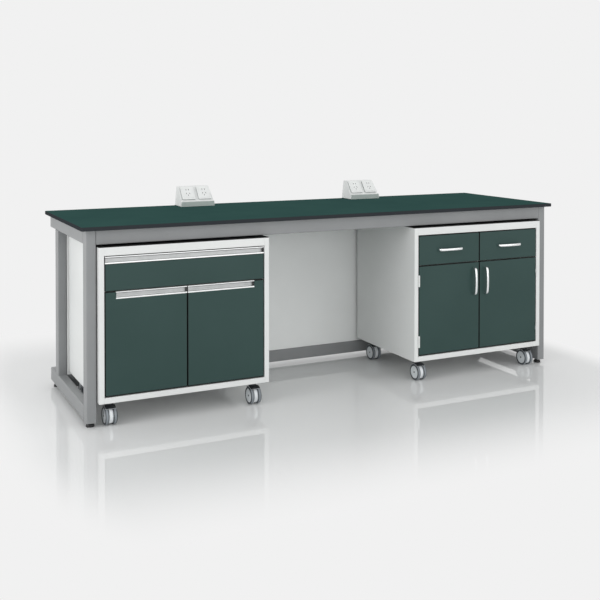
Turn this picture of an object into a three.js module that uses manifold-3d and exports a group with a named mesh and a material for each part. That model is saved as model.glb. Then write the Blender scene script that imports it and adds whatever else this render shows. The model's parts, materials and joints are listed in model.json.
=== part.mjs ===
// Laboratory bench with two socket pods on its top and two mobile cabinets under it.
// Millimetres, +Z up, +X to the right, the front faces -Y. The origin lies on the floor,
// under the middle of the whole object's box.

import * as THREE from 'three';
import { mergeVertices } from 'three/addons/utils/BufferGeometryUtils.js';
import Module from 'manifold-3d';

// Worktop
const topLength = 2400;
const topDepth = 750;
const topThickness = 16;
const topHeight = 820;
const topCornerRadius = 6;
const topEdgeChamfer = 1.5;

// Steel tube frame
const tubeWidth = 40;
const tubeDepth = 60;
const tubeWall = 2;
const tubeCornerRadius = 4;
const sideOverhang = 25;
const frontOverhang = 25;
const rearLegInset = 115;
const railRearInset = 3;
const panelThickness = 18;

// Levelling feet
const footHeight = 20;
const footRadius = 17;
const footPadHeight = 12;
const footPadTopRadius = 14;
const footNutRadius = 11;
const footNutHeight = 6;
const footStudRadius = 5;
const footStudReach = 34;
const footInsetFront = 30;
const footInsetRear = 52;
const footEdge = 1;
const nutSides = 6;

// Socket pods
const podSpacing = 950;
const podDepth = 102;
const podRearInset = 3;
const podLipHeight = 26;
const podLipDepth = 11;
const podEndMargin = 12;
const podSlopeAngle = 38;
const podEndLean = 10;
const podEdgeRadius = 4;
const podEdgeChamfer = 1;
const socketWidth = 68;
const socketHeight = 74;
const socketGap = 16;
const socketMargin = 7;
const socketProud = 7;
const socketCornerRadius = 4;
const socketEdgeChamfer = 1;
const socketBodyRadius = 1;
const socketBodyInset = 6;
const socketBodyDepth = 14;
const pinSlotWidth = 2.2;
const pinSlotLength = 8;
const pinSlotDepth = 11;
const twoPinSpacing = 13;
const twoPinRise = 19;
const threePinSpread = 8;
const threePinTilt = 30;
const threePinRise = -3;
const earthPinRise = -14;

// Castors
const wheelRadius = 37.5;
const wheelSpan = 50;
const wheelWidth = 16;
const wheelTreadRound = 3;
const wheelDiscRadius = 29;
const wheelDiscDish = 2;
const wheelHubRadius = 7;
const wheelHubProud = 1;
const axleRadius = 4;
const castorTrail = 14;
const castorSideInset = 54;
const castorEndInset = 64;
const castorHeadroom = 3;
const castorWebThickness = 16;
const castorWebRadius = 33;
const castorNeckDepth = 22;
const castorHousingRadius = 22;
const castorHousingFoot = 20;
const castorHousingHeight = 22;
const castorStemRadius = 5;
const castorStemLength = 18;

// Cabinet carcasses
const cabinetWidth = 750;
const cabinetHeadroom = 6;
const cabinetRearGap = 25;
const leftCabinetGap = 5;
const rightCabinetGap = 12;
const sideWall = 21.5;
const bottomWall = 24;
const backWall = 12;
const topRailHeight = 34;
const topRailDepth = 60;
const deckThickness = 18;
const dividerThickness = 18;
const capThickness = 3;
const capChamfer = 0.5;
const shelfThickness = 18;
const shelfHeight = 215;
const shelfSetback = 30;
const shelfPegRadius = 4;
const shelfPegReach = 11;
const shelfPegInset = 60;

// Fronts
const frontThickness = 18;
const frontGap = 3.5;
const frontChamfer = 1;
const boardCornerRadius = 2.5;
const drawerFrontHeight = 141;
const frontStopGap = 1;

// Drawer boxes and their runners
const drawerWall = 12;
const drawerFloor = 8;
const drawerHeadroom = 28;
const drawerFloorRise = 14;
const drawerRearGap = 40;
const runnerWidth = 11.5;
const runnerHeight = 10;
const runnerRise = 22;
const runnerSideGap = 1;

// Aluminium pulls
const pullHeight = 30;
const pullLip = 6;
const pullWall = 2.5;
const pullTopWall = 4;
const doorPullHingeGap = 45;

// Bow handles
const bowSpacing = 128;
const bowReach = 28;
const bowWidth = 12;
const bowThickness = 6;
const bowShoulder = 12;
const bowShoulderReach = 0.86;
const doorHandleInset = 32;
const doorHandleDrop = 28;

// Hinges
const knuckleRadius = 4;
const hingePinRadius = 2;
const hingeLength = 54;
const hingeForward = 4.5;
const hingeLeafThickness = 1.25;
const hingeLeafDepth = 17;
const lowerHingeRise = 40;
const upperHingeDrop = 42;
const hingeArmLength = 62;
const hingeArmWidth = 14;
const hingeArmHeight = 18;
const hingeArmRise = 70;

// Fits: resting faces, bolted seams, moving pieces and loose pieces
const seat = 0.2;
const seam = 0.5;
const turningClearance = 0.35;
const looseClearance = 2;

// How far joined pieces run into each other, and how far a cut runs past a face
const overlap = 1;

// Roundness of turned and drawn forms
const wheelSides = 16;
const roundSides = 12;
const smallSides = 10;
const cornerSteps = 1;
const bowSteps = 18;
const bowOvalSteps = 4;
const mergeTolerance = 1e-4;

// Levels and planes worked out from the sizes above
const frameTop = topHeight - topThickness - seat;
const apronBottom = frameTop - tubeDepth;
const frontPlane = -topDepth / 2;
const legFront = frontPlane + frontOverhang;
const rearLegBack = topDepth / 2 - rearLegInset;
const rearLegFront = rearLegBack - tubeDepth;
const railBack = topDepth / 2 - railRearInset;
const frameOuter = topLength / 2 - sideOverhang;
const frameInner = frameOuter - tubeWidth;
const bottomRailTop = footHeight + tubeDepth;
const castorHeight = 2 * wheelRadius + castorHeadroom + castorHousingHeight;
const cabinetDepth = rearLegFront - cabinetRearGap - frontPlane;
const carcassTop = apronBottom - cabinetHeadroom - capThickness - seat;
const openingBottom = castorHeight + bottomWall;
const openingTop = carcassTop - topRailHeight;
const drawerTop = openingTop - frontGap;
const drawerBottom = drawerTop - drawerFrontHeight;
const doorTop = drawerBottom - frontGap;
const doorBottom = openingBottom + frontGap;
const frontEdge = cabinetWidth / 2 - sideWall - frontGap;
const meetingEdge = frontGap / 2;
const deckTop = drawerBottom + frontThickness / 2;
const deckFront = frontThickness + frontStopGap;
const innerBack = cabinetDepth - backWall;
const innerHalf = cabinetWidth / 2 - sideWall;

const wasm = await Module();
wasm.setup();

// Solids for joining and cutting

function toSolid(geometry) {
  const bare = geometry.clone();
  bare.deleteAttribute('normal');
  bare.deleteAttribute('uv');
  const merged = mergeVertices(bare, mergeTolerance);
  const corners = merged.index.array;
  const kept = [];
  for (let i = 0; i < corners.length; i += 3) {
    const [a, b, c] = corners.slice(i, i + 3);
    if (a !== b && b !== c && c !== a) kept.push(a, b, c);
  }
  return new wasm.Manifold(new wasm.Mesh({
    numProp: 3,
    vertProperties: new Float32Array(merged.attributes.position.array),
    triVerts: new Uint32Array(kept),
  }));
}

function toGeometry(solid) {
  const { vertProperties, triVerts } = solid.getMesh();
  const geometry = new THREE.BufferGeometry();
  geometry.setAttribute('position', new THREE.BufferAttribute(vertProperties, 3));
  geometry.setIndex(new THREE.BufferAttribute(triVerts, 1));
  geometry.computeVertexNormals();
  return geometry;
}

function join(...geometries) {
  return toGeometry(geometries.map(toSolid).reduce((whole, piece) => whole.add(piece)));
}

function cut(geometry, ...tools) {
  return toGeometry(tools.map(toSolid).reduce((rest, tool) => rest.subtract(tool), toSolid(geometry)));
}

// Basic forms

function block(x0, x1, y0, y1, z0, z1) {
  const geometry = new THREE.BoxGeometry(x1 - x0, y1 - y0, z1 - z0);
  return geometry.translate((x0 + x1) / 2, (y0 + y1) / 2, (z0 + z1) / 2);
}

function roundedRectangle(width, height, radius, outline = new THREE.Shape()) {
  const x = width / 2 - radius;
  const y = height / 2 - radius;
  outline.absarc(x, -y, radius, -Math.PI / 2, 0);
  outline.absarc(x, y, radius, 0, Math.PI / 2);
  outline.absarc(-x, y, radius, Math.PI / 2, Math.PI);
  outline.absarc(-x, -y, radius, Math.PI, 1.5 * Math.PI);
  outline.closePath();
  return outline;
}

function polygon(points) {
  return new THREE.Shape(points.map(([x, y]) => new THREE.Vector2(x, y)));
}

function extrude(shape, depth, chamfer = 0) {
  return new THREE.ExtrudeGeometry(shape, {
    depth: depth - 2 * chamfer,
    curveSegments: cornerSteps,
    bevelEnabled: chamfer > 0,
    bevelThickness: chamfer,
    bevelSize: chamfer,
    bevelOffset: -chamfer,
    bevelSegments: 1,
  }).translate(0, 0, chamfer);
}

function ordered(a, b) {
  return [Math.min(a, b), Math.max(a, b)];
}

// The outline is drawn in Y and Z and runs along X
function alongX(geometry, x0) {
  const turn = new THREE.Matrix4().makeBasis(
    new THREE.Vector3(0, 1, 0),
    new THREE.Vector3(0, 0, 1),
    new THREE.Vector3(1, 0, 0),
  );
  return geometry.applyMatrix4(turn).translate(x0, 0, 0);
}

// The outline is drawn in X and Z and runs forward, along -Y, from the plane y1
function alongFront(geometry, y1) {
  return geometry.rotateX(Math.PI / 2).translate(0, y1, 0);
}

function upright(radiusTop, radiusBottom, z0, z1, sides) {
  const geometry = new THREE.CylinderGeometry(radiusTop, radiusBottom, z1 - z0, sides);
  return geometry.rotateX(Math.PI / 2).translate(0, 0, (z0 + z1) / 2);
}

function acrossX(radius, x0, x1, sides) {
  const geometry = new THREE.CylinderGeometry(radius, radius, x1 - x0, sides);
  return geometry.rotateZ(Math.PI / 2).translate((x0 + x1) / 2, 0, 0);
}

// A bore whose flats stay clear of a round pin of this radius as it turns
function boreRadius(pinRadius, sides) {
  return (pinRadius + turningClearance) / Math.cos(Math.PI / sides);
}

// Finishes

const finishes = {
  laminate: { color: 0x35504b, roughness: 0.45, metalness: 0 },
  frameSteel: { color: 0x97999a, roughness: 0.4, metalness: 0.2 },
  whiteBoard: { color: 0xe2e4e3, roughness: 0.5, metalness: 0 },
  greenBoard: { color: 0x3a544f, roughness: 0.45, metalness: 0 },
  blackBoard: { color: 0x0d0d0e, roughness: 0.7, metalness: 0 },
  blackRubber: { color: 0x161617, roughness: 0.8, metalness: 0 },
  aluminium: { color: 0xc9cccd, roughness: 0.3, metalness: 1 },
  podPlastic: { color: 0xe9ebea, roughness: 0.45, metalness: 0 },
  castorPlastic: { color: 0x5d6265, roughness: 0.5, metalness: 0 },
  wheelPlastic: { color: 0xa9aeb1, roughness: 0.5, metalness: 0 },
};

function piece(name, geometry, finish) {
  const mesh = new THREE.Mesh(geometry, new THREE.MeshStandardMaterial(finishes[finish]));
  mesh.name = name;
  return mesh;
}

function groupAt(x, y, z, ...children) {
  const group = new THREE.Group();
  group.position.set(x, y, z);
  group.add(...children);
  return group;
}

// Worktop and frame

function worktop() {
  const outline = roundedRectangle(topLength, topDepth, topCornerRadius);
  const slab = extrude(outline, topThickness, topEdgeChamfer);
  return piece('worktop', slab.translate(0, 0, topHeight - topThickness), 'laminate');
}

// A welded frame of two legs and two rails, with a threaded hole for each foot
function endFrame(name, side) {
  const legSection = () => roundedRectangle(tubeWidth, tubeDepth, tubeCornerRadius);
  const leg = (yBack) => extrude(legSection(), frameTop - footHeight)
    .translate(0, yBack - tubeDepth / 2, footHeight);
  const railLength = railBack - legFront - tubeCornerRadius;
  const rail = (zBottom) => alongFront(extrude(legSection(), railLength), railBack)
    .translate(0, 0, zBottom + tubeDepth / 2);
  const welded = join(leg(legFront + tubeDepth), leg(rearLegBack), rail(footHeight), rail(apronBottom));
  const holeRadius = boreRadius(footStudRadius, roundSides);
  const holeTop = footHeight + footStudReach + turningClearance;
  const hole = (y) => upright(holeRadius, holeRadius, 0, holeTop, roundSides).translate(0, y, 0);
  const drilled = cut(welded, hole(legFront + footInsetFront), hole(railBack - footInsetRear));
  return piece(name, drilled.translate(side * (frameInner + tubeWidth / 2), 0, 0), 'frameSteel');
}

// A straight open tube bolted between the end frames
function crossRail(name, yFront, zBottom) {
  const section = roundedRectangle(tubeWidth, tubeDepth, tubeCornerRadius);
  const inside = tubeCornerRadius - tubeWall;
  const bore = roundedRectangle(tubeWidth - 2 * tubeWall, tubeDepth - 2 * tubeWall, inside, new THREE.Path());
  section.holes.push(bore);
  const half = frameInner - seam;
  const tube = alongX(extrude(section, 2 * half), -half);
  return piece(name, tube.translate(0, yFront + tubeWidth / 2, zBottom + tubeDepth / 2), 'frameSteel');
}

function backPanel() {
  const width = 2 * (frameInner - seam);
  const bottom = bottomRailTop + seam;
  const height = apronBottom - seam - bottom;
  const sheet = extrude(roundedRectangle(width, height, boardCornerRadius), panelThickness, frontChamfer);
  const standing = alongFront(sheet, rearLegFront + panelThickness);
  return piece('back_panel', standing.translate(0, 0, bottom + height / 2), 'whiteBoard');
}

function foot(name, side, y) {
  const nutTop = footHeight - seat;
  const pad = new THREE.LatheGeometry([
    new THREE.Vector2(0, 0),
    new THREE.Vector2(footRadius - footEdge, 0),
    new THREE.Vector2(footRadius, footEdge),
    new THREE.Vector2(footRadius, footPadHeight / 2),
    new THREE.Vector2(footPadTopRadius, footPadHeight),
    new THREE.Vector2(footStudRadius, footPadHeight + footEdge),
    new THREE.Vector2(footStudRadius, footHeight + footStudReach),
    new THREE.Vector2(0, footHeight + footStudReach),
  ], roundSides).rotateX(Math.PI / 2);
  const nut = upright(footNutRadius, footNutRadius, nutTop - footNutHeight, nutTop, nutSides);
  const x = side * (frameInner + tubeWidth / 2);
  return groupAt(x, y, 0, piece(name, join(pad, nut), 'blackRubber'));
}

// Socket pods

const slope = THREE.MathUtils.degToRad(podSlopeAngle);
const slopeLength = socketHeight + 2 * socketMargin;
const podHeight = podLipHeight + slopeLength * Math.cos(slope);
const podWidth = 2 * (socketWidth + podEndMargin) + socketGap;

function socket(name) {
  const face = roundedRectangle(socketWidth, socketHeight, socketCornerRadius);
  const plate = extrude(face, socketProud, socketEdgeChamfer);
  const bodyWidth = socketWidth - 2 * socketBodyInset;
  const bodyHeight = socketHeight - 2 * socketBodyInset;
  const body = extrude(roundedRectangle(bodyWidth, bodyHeight, socketBodyRadius), socketBodyDepth)
    .translate(0, 0, -socketBodyDepth);
  const slot = (x, y, tilt) => {
    const bar = new THREE.BoxGeometry(pinSlotWidth, pinSlotLength, 2 * pinSlotDepth);
    return bar.rotateZ(THREE.MathUtils.degToRad(tilt)).translate(x, y, socketProud);
  };
  const solid = cut(
    join(plate, body),
    slot(-twoPinSpacing / 2, twoPinRise, 0),
    slot(twoPinSpacing / 2, twoPinRise, 0),
    slot(-threePinSpread, threePinRise, -threePinTilt),
    slot(threePinSpread, threePinRise, threePinTilt),
    slot(0, earthPinRise, 0),
  );
  return piece(name, solid, 'podPlastic');
}

// The slope's own frame: X along the pod, Y up the slope, Z out of it
function onSlope(x, ...children) {
  const middle = slopeLength / 2;
  const group = groupAt(
    x,
    podLipDepth + middle * Math.sin(slope),
    podLipHeight + middle * Math.cos(slope),
    ...children,
  );
  group.rotation.x = Math.PI / 2 - slope;
  group.updateMatrix();
  return group;
}

function pod(prefix, x) {
  const run = slopeLength * Math.sin(slope);
  const outline = polygon([
    [podEdgeChamfer, 0],
    [podDepth, 0],
    [podDepth, podHeight - podEdgeRadius],
    [podDepth - podEdgeRadius, podHeight],
    [podLipDepth + run, podHeight],
    [podLipDepth, podLipHeight],
    [podEdgeRadius, podLipHeight],
    [0, podLipHeight - podEdgeRadius / 2],
  ]);
  const wedge = alongX(extrude(outline, podWidth, podEdgeChamfer), -podWidth / 2);
  // The ends lean inwards towards the top
  const corners = wedge.attributes.position;
  for (let i = 0; i < corners.count; i += 1) {
    const lean = podEndLean * corners.getZ(i) / podHeight;
    corners.setX(i, corners.getX(i) - Math.sign(corners.getX(i)) * lean);
  }
  const offset = (socketWidth + socketGap) / 2;
  const pocketWidth = socketWidth - 2 * (socketBodyInset - seat);
  const pocketHeight = socketHeight - 2 * (socketBodyInset - seat);
  const pocketDepth = socketBodyDepth + seat;
  const pocket = (side) => {
    const mouth = roundedRectangle(pocketWidth, pocketHeight, socketBodyRadius);
    const hollow = extrude(mouth, 2 * pocketDepth).translate(0, 0, -pocketDepth);
    return hollow.applyMatrix4(onSlope(side * offset, new THREE.Group()).matrix);
  };
  const housing = piece(`${prefix}_housing`, cut(wedge, pocket(-1), pocket(1)), 'podPlastic');
  const left = socket(`${prefix}_left_socket`);
  const right = socket(`${prefix}_right_socket`);
  left.position.z = seat;
  right.position.z = seat;
  return groupAt(
    x,
    topDepth / 2 - podRearInset - podDepth,
    topHeight + seat,
    housing,
    onSlope(-offset, left),
    onSlope(offset, right),
  );
}

// Castors: the stem stands at the group's origin and the wheels trail towards the front

function castorFork(name) {
  const half = castorWebThickness / 2;
  const disc = acrossX(castorWebRadius, -half, half, wheelSides).translate(0, -castorTrail, wheelRadius);
  const housingBottom = castorHeight - castorHousingHeight;
  const neckTop = housingBottom + overlap;
  const neck = block(-half, half, -castorNeckDepth / 2, castorNeckDepth / 2, wheelRadius, neckTop);
  const housing = upright(
    castorHousingRadius,
    castorHousingFoot,
    housingBottom,
    castorHeight - seat,
    roundSides,
  );
  const stem = upright(
    castorStemRadius,
    castorStemRadius,
    housingBottom,
    castorHeight + castorStemLength,
    smallSides,
  );
  const bore = acrossX(boreRadius(axleRadius, smallSides), -2 * half, 2 * half, smallSides)
    .translate(0, -castorTrail, wheelRadius);
  return piece(name, cut(join(disc, neck, housing, stem), bore), 'castorPlastic');
}

function castorWheels(name) {
  const outer = wheelSpan / 2;
  const inner = outer - wheelWidth;
  const disc = outer - wheelDiscDish;
  const side = [
    [0, disc + wheelHubProud],
    [wheelHubRadius, disc + wheelHubProud],
    [wheelHubRadius, disc],
    [wheelDiscRadius, disc],
    [wheelDiscRadius + wheelDiscDish, outer],
    [wheelRadius - wheelTreadRound, outer],
    [wheelRadius, outer - wheelTreadRound],
    [wheelRadius, inner],
    [axleRadius, inner],
  ];
  const mirrored = side.map(([radius, along]) => [radius, -along]);
  const profile = [...mirrored, ...side.reverse()];
  const pair = new THREE.LatheGeometry(
    profile.map(([radius, along]) => new THREE.Vector2(radius, along)),
    wheelSides,
  ).rotateZ(Math.PI / 2);
  const mesh = piece(name, pair, 'wheelPlastic');
  mesh.position.set(0, -castorTrail, wheelRadius);
  return mesh;
}

function castors(prefix) {
  const x = cabinetWidth / 2 - castorSideInset;
  const places = {
    front_left: [-x, castorEndInset],
    front_right: [x, castorEndInset],
    rear_left: [-x, cabinetDepth - castorEndInset],
    rear_right: [x, cabinetDepth - castorEndInset],
  };
  return Object.entries(places).map(([place, [px, py]]) => groupAt(
    px,
    py,
    0,
    castorFork(`${prefix}_${place}_castor_fork`),
    castorWheels(`${prefix}_${place}_castor_wheels`),
  ));
}

// Cabinets: the origin is on the floor under the middle of the front face, and +Y runs to the rear

function stemHoles() {
  const x = cabinetWidth / 2 - castorSideInset;
  const radius = boreRadius(castorStemRadius, smallSides);
  const top = castorHeight + castorStemLength + turningClearance;
  const hole = (px, py) => upright(radius, radius, 0, top, smallSides).translate(px, py, 0);
  return [castorEndInset, cabinetDepth - castorEndInset].flatMap((y) => [hole(-x, y), hole(x, y)]);
}

// Where a drawer's runner ledge stands, and where its box begins
const ledgeTop = deckTop + drawerFloorRise + runnerRise;
const boxBottom = deckTop + drawerFloorRise;
const boxTop = openingTop - drawerHeadroom;
const boxFront = frontThickness + seat;
const boxBack = innerBack - drawerRearGap;
const runnerSpace = runnerWidth + runnerSideGap;

// Ledges on both sides of a drawer bay
function runnerLedges(bayLeft, bayRight) {
  const ledge = (x0, x1) => block(x0, x1, deckFront, boxBack, ledgeTop - runnerHeight, ledgeTop);
  return [
    ledge(bayLeft - overlap, bayLeft + runnerWidth),
    ledge(bayRight - runnerWidth, bayRight + overlap),
  ];
}

function shelfPegs() {
  const z = openingBottom + shelfHeight - shelfPegRadius;
  const peg = (side, y) => acrossX(shelfPegRadius, -shelfPegReach, shelfPegReach, smallSides)
    .translate(side * innerHalf, y, z);
  const front = deckFront + shelfSetback + shelfPegInset;
  const back = innerBack - shelfPegInset;
  return [peg(-1, front), peg(1, front), peg(-1, back), peg(1, back)];
}

function carcass(name, fittings) {
  const half = cabinetWidth / 2;
  const boards = [
    block(-half, -innerHalf, 0, cabinetDepth, castorHeight, carcassTop),
    block(innerHalf, half, 0, cabinetDepth, castorHeight, carcassTop),
    block(-half, half, 0, cabinetDepth, castorHeight, openingBottom),
    block(-half, half, innerBack, cabinetDepth, castorHeight, carcassTop),
    block(-half, half, 0, topRailDepth, openingTop, carcassTop),
    block(-half, half, deckFront, cabinetDepth, deckTop - deckThickness, deckTop),
  ];
  const glued = join(...boards, ...shelfPegs(), ...fittings.added);
  return piece(name, cut(glued, ...stemHoles(), ...fittings.removed), 'whiteBoard');
}

function cap(name) {
  const outline = roundedRectangle(cabinetWidth, cabinetDepth, boardCornerRadius);
  const sheet = extrude(outline, capThickness, capChamfer);
  return piece(name, sheet.translate(0, cabinetDepth / 2, carcassTop + seat), 'blackBoard');
}

function shelf(name) {
  const front = deckFront + shelfSetback;
  const depth = innerBack - looseClearance - front;
  const width = 2 * (innerHalf - looseClearance);
  const board = extrude(roundedRectangle(width, depth, boardCornerRadius), shelfThickness, frontChamfer);
  const bottom = openingBottom + shelfHeight + seat;
  return piece(name, board.translate(0, front + depth / 2, bottom), 'whiteBoard');
}

// A front board with chamfered edges, its face on the cabinet's front plane
function frontBoard(name, x0, x1, z0, z1) {
  const board = extrude(roundedRectangle(x1 - x0, z1 - z0, boardCornerRadius), frontThickness, frontChamfer);
  const placed = alongFront(board, frontThickness).translate((x0 + x1) / 2, 0, (z0 + z1) / 2);
  return piece(name, placed, 'greenBoard');
}

// An open box with a rail along each outer side that rides on the runner ledge
function drawerBox(name, bayLeft, bayRight) {
  const left = bayLeft + runnerSpace;
  const right = bayRight - runnerSpace;
  const railBottom = ledgeTop + seat;
  const hollow = block(
    left + drawerWall,
    right - drawerWall,
    boxFront + drawerWall,
    boxBack - drawerWall,
    boxBottom + drawerFloor,
    boxTop + overlap,
  );
  const rail = (x0, x1) => block(x0, x1, boxFront, boxBack, railBottom, railBottom + runnerHeight);
  const body = join(
    block(left, right, boxFront, boxBack, boxBottom, boxTop),
    rail(left - runnerWidth, left + overlap),
    rail(right - overlap, right + runnerWidth),
  );
  return piece(name, cut(body, hollow), 'whiteBoard');
}

// An aluminium channel along the top of a front: open to the front, with a lip for the fingers
function pull(name, x0, x1, top) {
  const bottom = top - pullHeight + seat;
  const back = frontThickness - pullWall;
  const section = polygon([
    [frontThickness, bottom],
    [0, bottom],
    [0, bottom + pullLip],
    [pullWall, bottom + pullLip],
    [pullWall, bottom + pullWall],
    [back, bottom + pullWall],
    [back, top - pullTopWall],
    [0, top - pullTopWall],
    [0, top],
    [frontThickness, top],
  ]);
  return piece(name, alongX(extrude(section, x1 - x0), x0), 'aluminium');
}

// A bow of flat oval bar, drawn along X in front of the plane y = 0
function bowHandle(name) {
  const half = bowSpacing / 2;
  const middle = bowReach - bowThickness / 2;
  const points = [
    [-half, -seat],
    [-half, -middle / 2],
    [-half + bowShoulder, -bowShoulderReach * middle],
    [0, -middle],
    [half - bowShoulder, -bowShoulderReach * middle],
    [half, -middle / 2],
    [half, -seat],
  ];
  const path = new THREE.CatmullRomCurve3(points.map(([x, y]) => new THREE.Vector3(x, y, 0)));
  const oval = new THREE.Shape();
  oval.absellipse(0, 0, bowWidth / 2, bowThickness / 2, 0, 2 * Math.PI);
  const geometry = new THREE.ExtrudeGeometry(oval, {
    steps: bowSteps,
    curveSegments: bowOvalSteps,
    extrudePath: path,
    bevelEnabled: false,
  });
  return piece(name, geometry, 'aluminium');
}

function leftCabinet(prefix) {
  const armBottoms = [doorBottom + hingeArmRise, doorTop - hingeArmRise - hingeArmHeight];
  const arm = (side, z) => {
    const x = side * (innerHalf - hingeArmWidth / 2);
    const y0 = frontThickness + seat;
    const reach = hingeArmWidth / 2 + overlap;
    return block(x - reach, x + reach, y0, y0 + hingeArmLength, z, z + hingeArmHeight);
  };
  const fittings = {
    added: [
      ...runnerLedges(-innerHalf, innerHalf),
      ...armBottoms.flatMap((z) => [arm(-1, z), arm(1, z)]),
    ],
    removed: [],
  };
  const drawerBoardTop = drawerTop - pullHeight;
  const pullStart = frontEdge - doorPullHingeGap;
  const door = (name, x0, x1, notch0, notch1) => {
    const board = frontBoard(name, x0, x1, doorBottom, doorTop);
    const notchBottom = doorTop - pullHeight;
    const notch = block(notch0, notch1, -overlap, frontThickness + overlap, notchBottom, doorTop + overlap);
    board.geometry = cut(board.geometry, notch);
    return board;
  };
  return [
    carcass(`${prefix}_carcass`, fittings),
    cap(`${prefix}_top`),
    shelf(`${prefix}_shelf`),
    drawerBox(`${prefix}_drawer_box`, -innerHalf, innerHalf),
    frontBoard(`${prefix}_drawer_front`, -frontEdge, frontEdge, drawerBottom, drawerBoardTop),
    pull(`${prefix}_drawer_pull`, -frontEdge, frontEdge, drawerTop),
    door(`${prefix}_left_door`, -frontEdge, -meetingEdge, -pullStart - seat, 0),
    pull(`${prefix}_left_door_pull`, -pullStart, -meetingEdge, doorTop),
    door(`${prefix}_right_door`, meetingEdge, frontEdge, 0, pullStart + seat),
    pull(`${prefix}_right_door_pull`, meetingEdge, pullStart, doorTop),
  ];
}

// Hinge heights, as the bottom of the barrel
const hingeBottoms = {
  lower: doorBottom + lowerHingeRise,
  upper: doorTop - upperHingeDrop - hingeLength,
};
const hingeAxisX = innerHalf - frontGap / 2;
const knuckleLength = hingeLength / 3;

function barrel(side, radius, z0, z1) {
  return upright(radius, radius, z0, z1, smallSides).translate(side * hingeAxisX, -hingeForward, 0);
}

// The leaf that is let into the carcass, with the outer knuckles
function fixedLeaf(side, z) {
  const face = side * innerHalf;
  const edge = face - side * hingeLeafThickness;
  const top = z + hingeLength;
  const tongue = (z0, z1) => block(...ordered(face, edge), -hingeForward, overlap, z0, z1);
  return [
    block(...ordered(face + side * overlap, edge), 0, hingeLeafDepth, z, top),
    tongue(z, z + knuckleLength),
    tongue(top - knuckleLength, top),
    barrel(side, knuckleRadius, z, z + knuckleLength),
    barrel(side, knuckleRadius, top - knuckleLength, top),
  ];
}

function pinBore(side, z) {
  return barrel(side, boreRadius(hingePinRadius, smallSides), z - overlap, z + hingeLength + overlap);
}

// The leaf on the door's edge, with the middle knuckle and the pin
function turningLeaf(name, side, z) {
  const face = side * (frontEdge + seat);
  const [x0, x1] = ordered(face, face + side * hingeLeafThickness);
  const middle0 = z + knuckleLength + turningClearance;
  const middle1 = z + 2 * knuckleLength - turningClearance;
  const solid = join(
    block(x0, x1, 0, hingeLeafDepth, z, z + hingeLength),
    block(x0, x1, -hingeForward, overlap, middle0, middle1),
    barrel(side, knuckleRadius, middle0, middle1),
    barrel(side, hingePinRadius, z, z + hingeLength),
  );
  return piece(name, solid, 'whiteBoard');
}

function rightCabinet(prefix) {
  const half = dividerThickness / 2;
  const divider = block(-half, half, deckFront, cabinetDepth, deckTop - overlap, carcassTop);
  const fittings = {
    added: [
      divider,
      ...runnerLedges(-innerHalf, -half),
      ...runnerLedges(half, innerHalf),
    ],
    removed: [],
  };
  const placedHandle = (bodyName, x, z, turned) => {
    const handle = bowHandle(`${bodyName}_handle`);
    const group = groupAt(x, 0, z, handle);
    if (turned) group.rotation.y = Math.PI / 2;
    return group;
  };
  const drawerMiddle = (drawerBottom + drawerTop) / 2;
  const frontMiddle = (meetingEdge + frontEdge) / 2;
  const handleX = meetingEdge + doorHandleInset;
  const handleZ = doorTop - doorHandleDrop - bowSpacing / 2;
  const pieces = [];
  for (const [hand, side] of [['left', -1], ['right', 1]]) {
    const drawer = `${prefix}_${hand}_drawer`;
    const door = `${prefix}_${hand}_door`;
    const [x0, x1] = ordered(side * meetingEdge, side * frontEdge);
    const [bay0, bay1] = ordered(side * half, side * innerHalf);
    pieces.push(
      drawerBox(`${drawer}_box`, bay0, bay1),
      frontBoard(`${drawer}_front`, x0, x1, drawerBottom, drawerTop),
      placedHandle(drawer, side * frontMiddle, drawerMiddle, false),
      frontBoard(door, x0, x1, doorBottom, doorTop),
      placedHandle(door, side * handleX, handleZ, true),
    );
    for (const [level, z] of Object.entries(hingeBottoms)) {
      pieces.push(turningLeaf(`${door}_${level}_hinge`, side, z));
      fittings.added.push(...fixedLeaf(side, z));
      fittings.removed.push(pinBore(side, z));
    }
  }
  return [
    carcass(`${prefix}_carcass`, fittings),
    cap(`${prefix}_top`),
    shelf(`${prefix}_shelf`),
    ...pieces,
  ];
}

// The whole bench

const bench = new THREE.Group();
bench.add(
  worktop(),
  endFrame('left_end_frame', -1),
  endFrame('right_end_frame', 1),
  crossRail('front_rail', legFront, apronBottom),
  crossRail('rear_top_rail', rearLegFront, apronBottom),
  crossRail('rear_bottom_rail', rearLegFront, footHeight),
  backPanel(),
  pod('left_pod', -podSpacing / 2),
  pod('right_pod', podSpacing / 2),
);
for (const [place, side] of [['left', -1], ['right', 1]]) {
  bench.add(
    foot(`front_${place}_foot`, side, legFront + footInsetFront),
    foot(`rear_${place}_foot`, side, railBack - footInsetRear),
  );
}
const leftX = -frameInner + leftCabinetGap + cabinetWidth / 2;
const rightX = frameInner - rightCabinetGap - cabinetWidth / 2;
bench.add(
  groupAt(leftX, frontPlane, 0, ...leftCabinet('left_cabinet'), ...castors('left_cabinet')),
  groupAt(rightX, frontPlane, 0, ...rightCabinet('right_cabinet'), ...castors('right_cabinet')),
);

// The handles reach past the front, so the box's middle lies a little in front of the worktop's
const box = new THREE.Box3().setFromObject(bench, true);
bench.position.y = -(box.min.y + box.max.y) / 2;

export default bench;
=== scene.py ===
import json
import math

import bmesh
import bpy
from mathutils import Matrix, Vector


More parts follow.
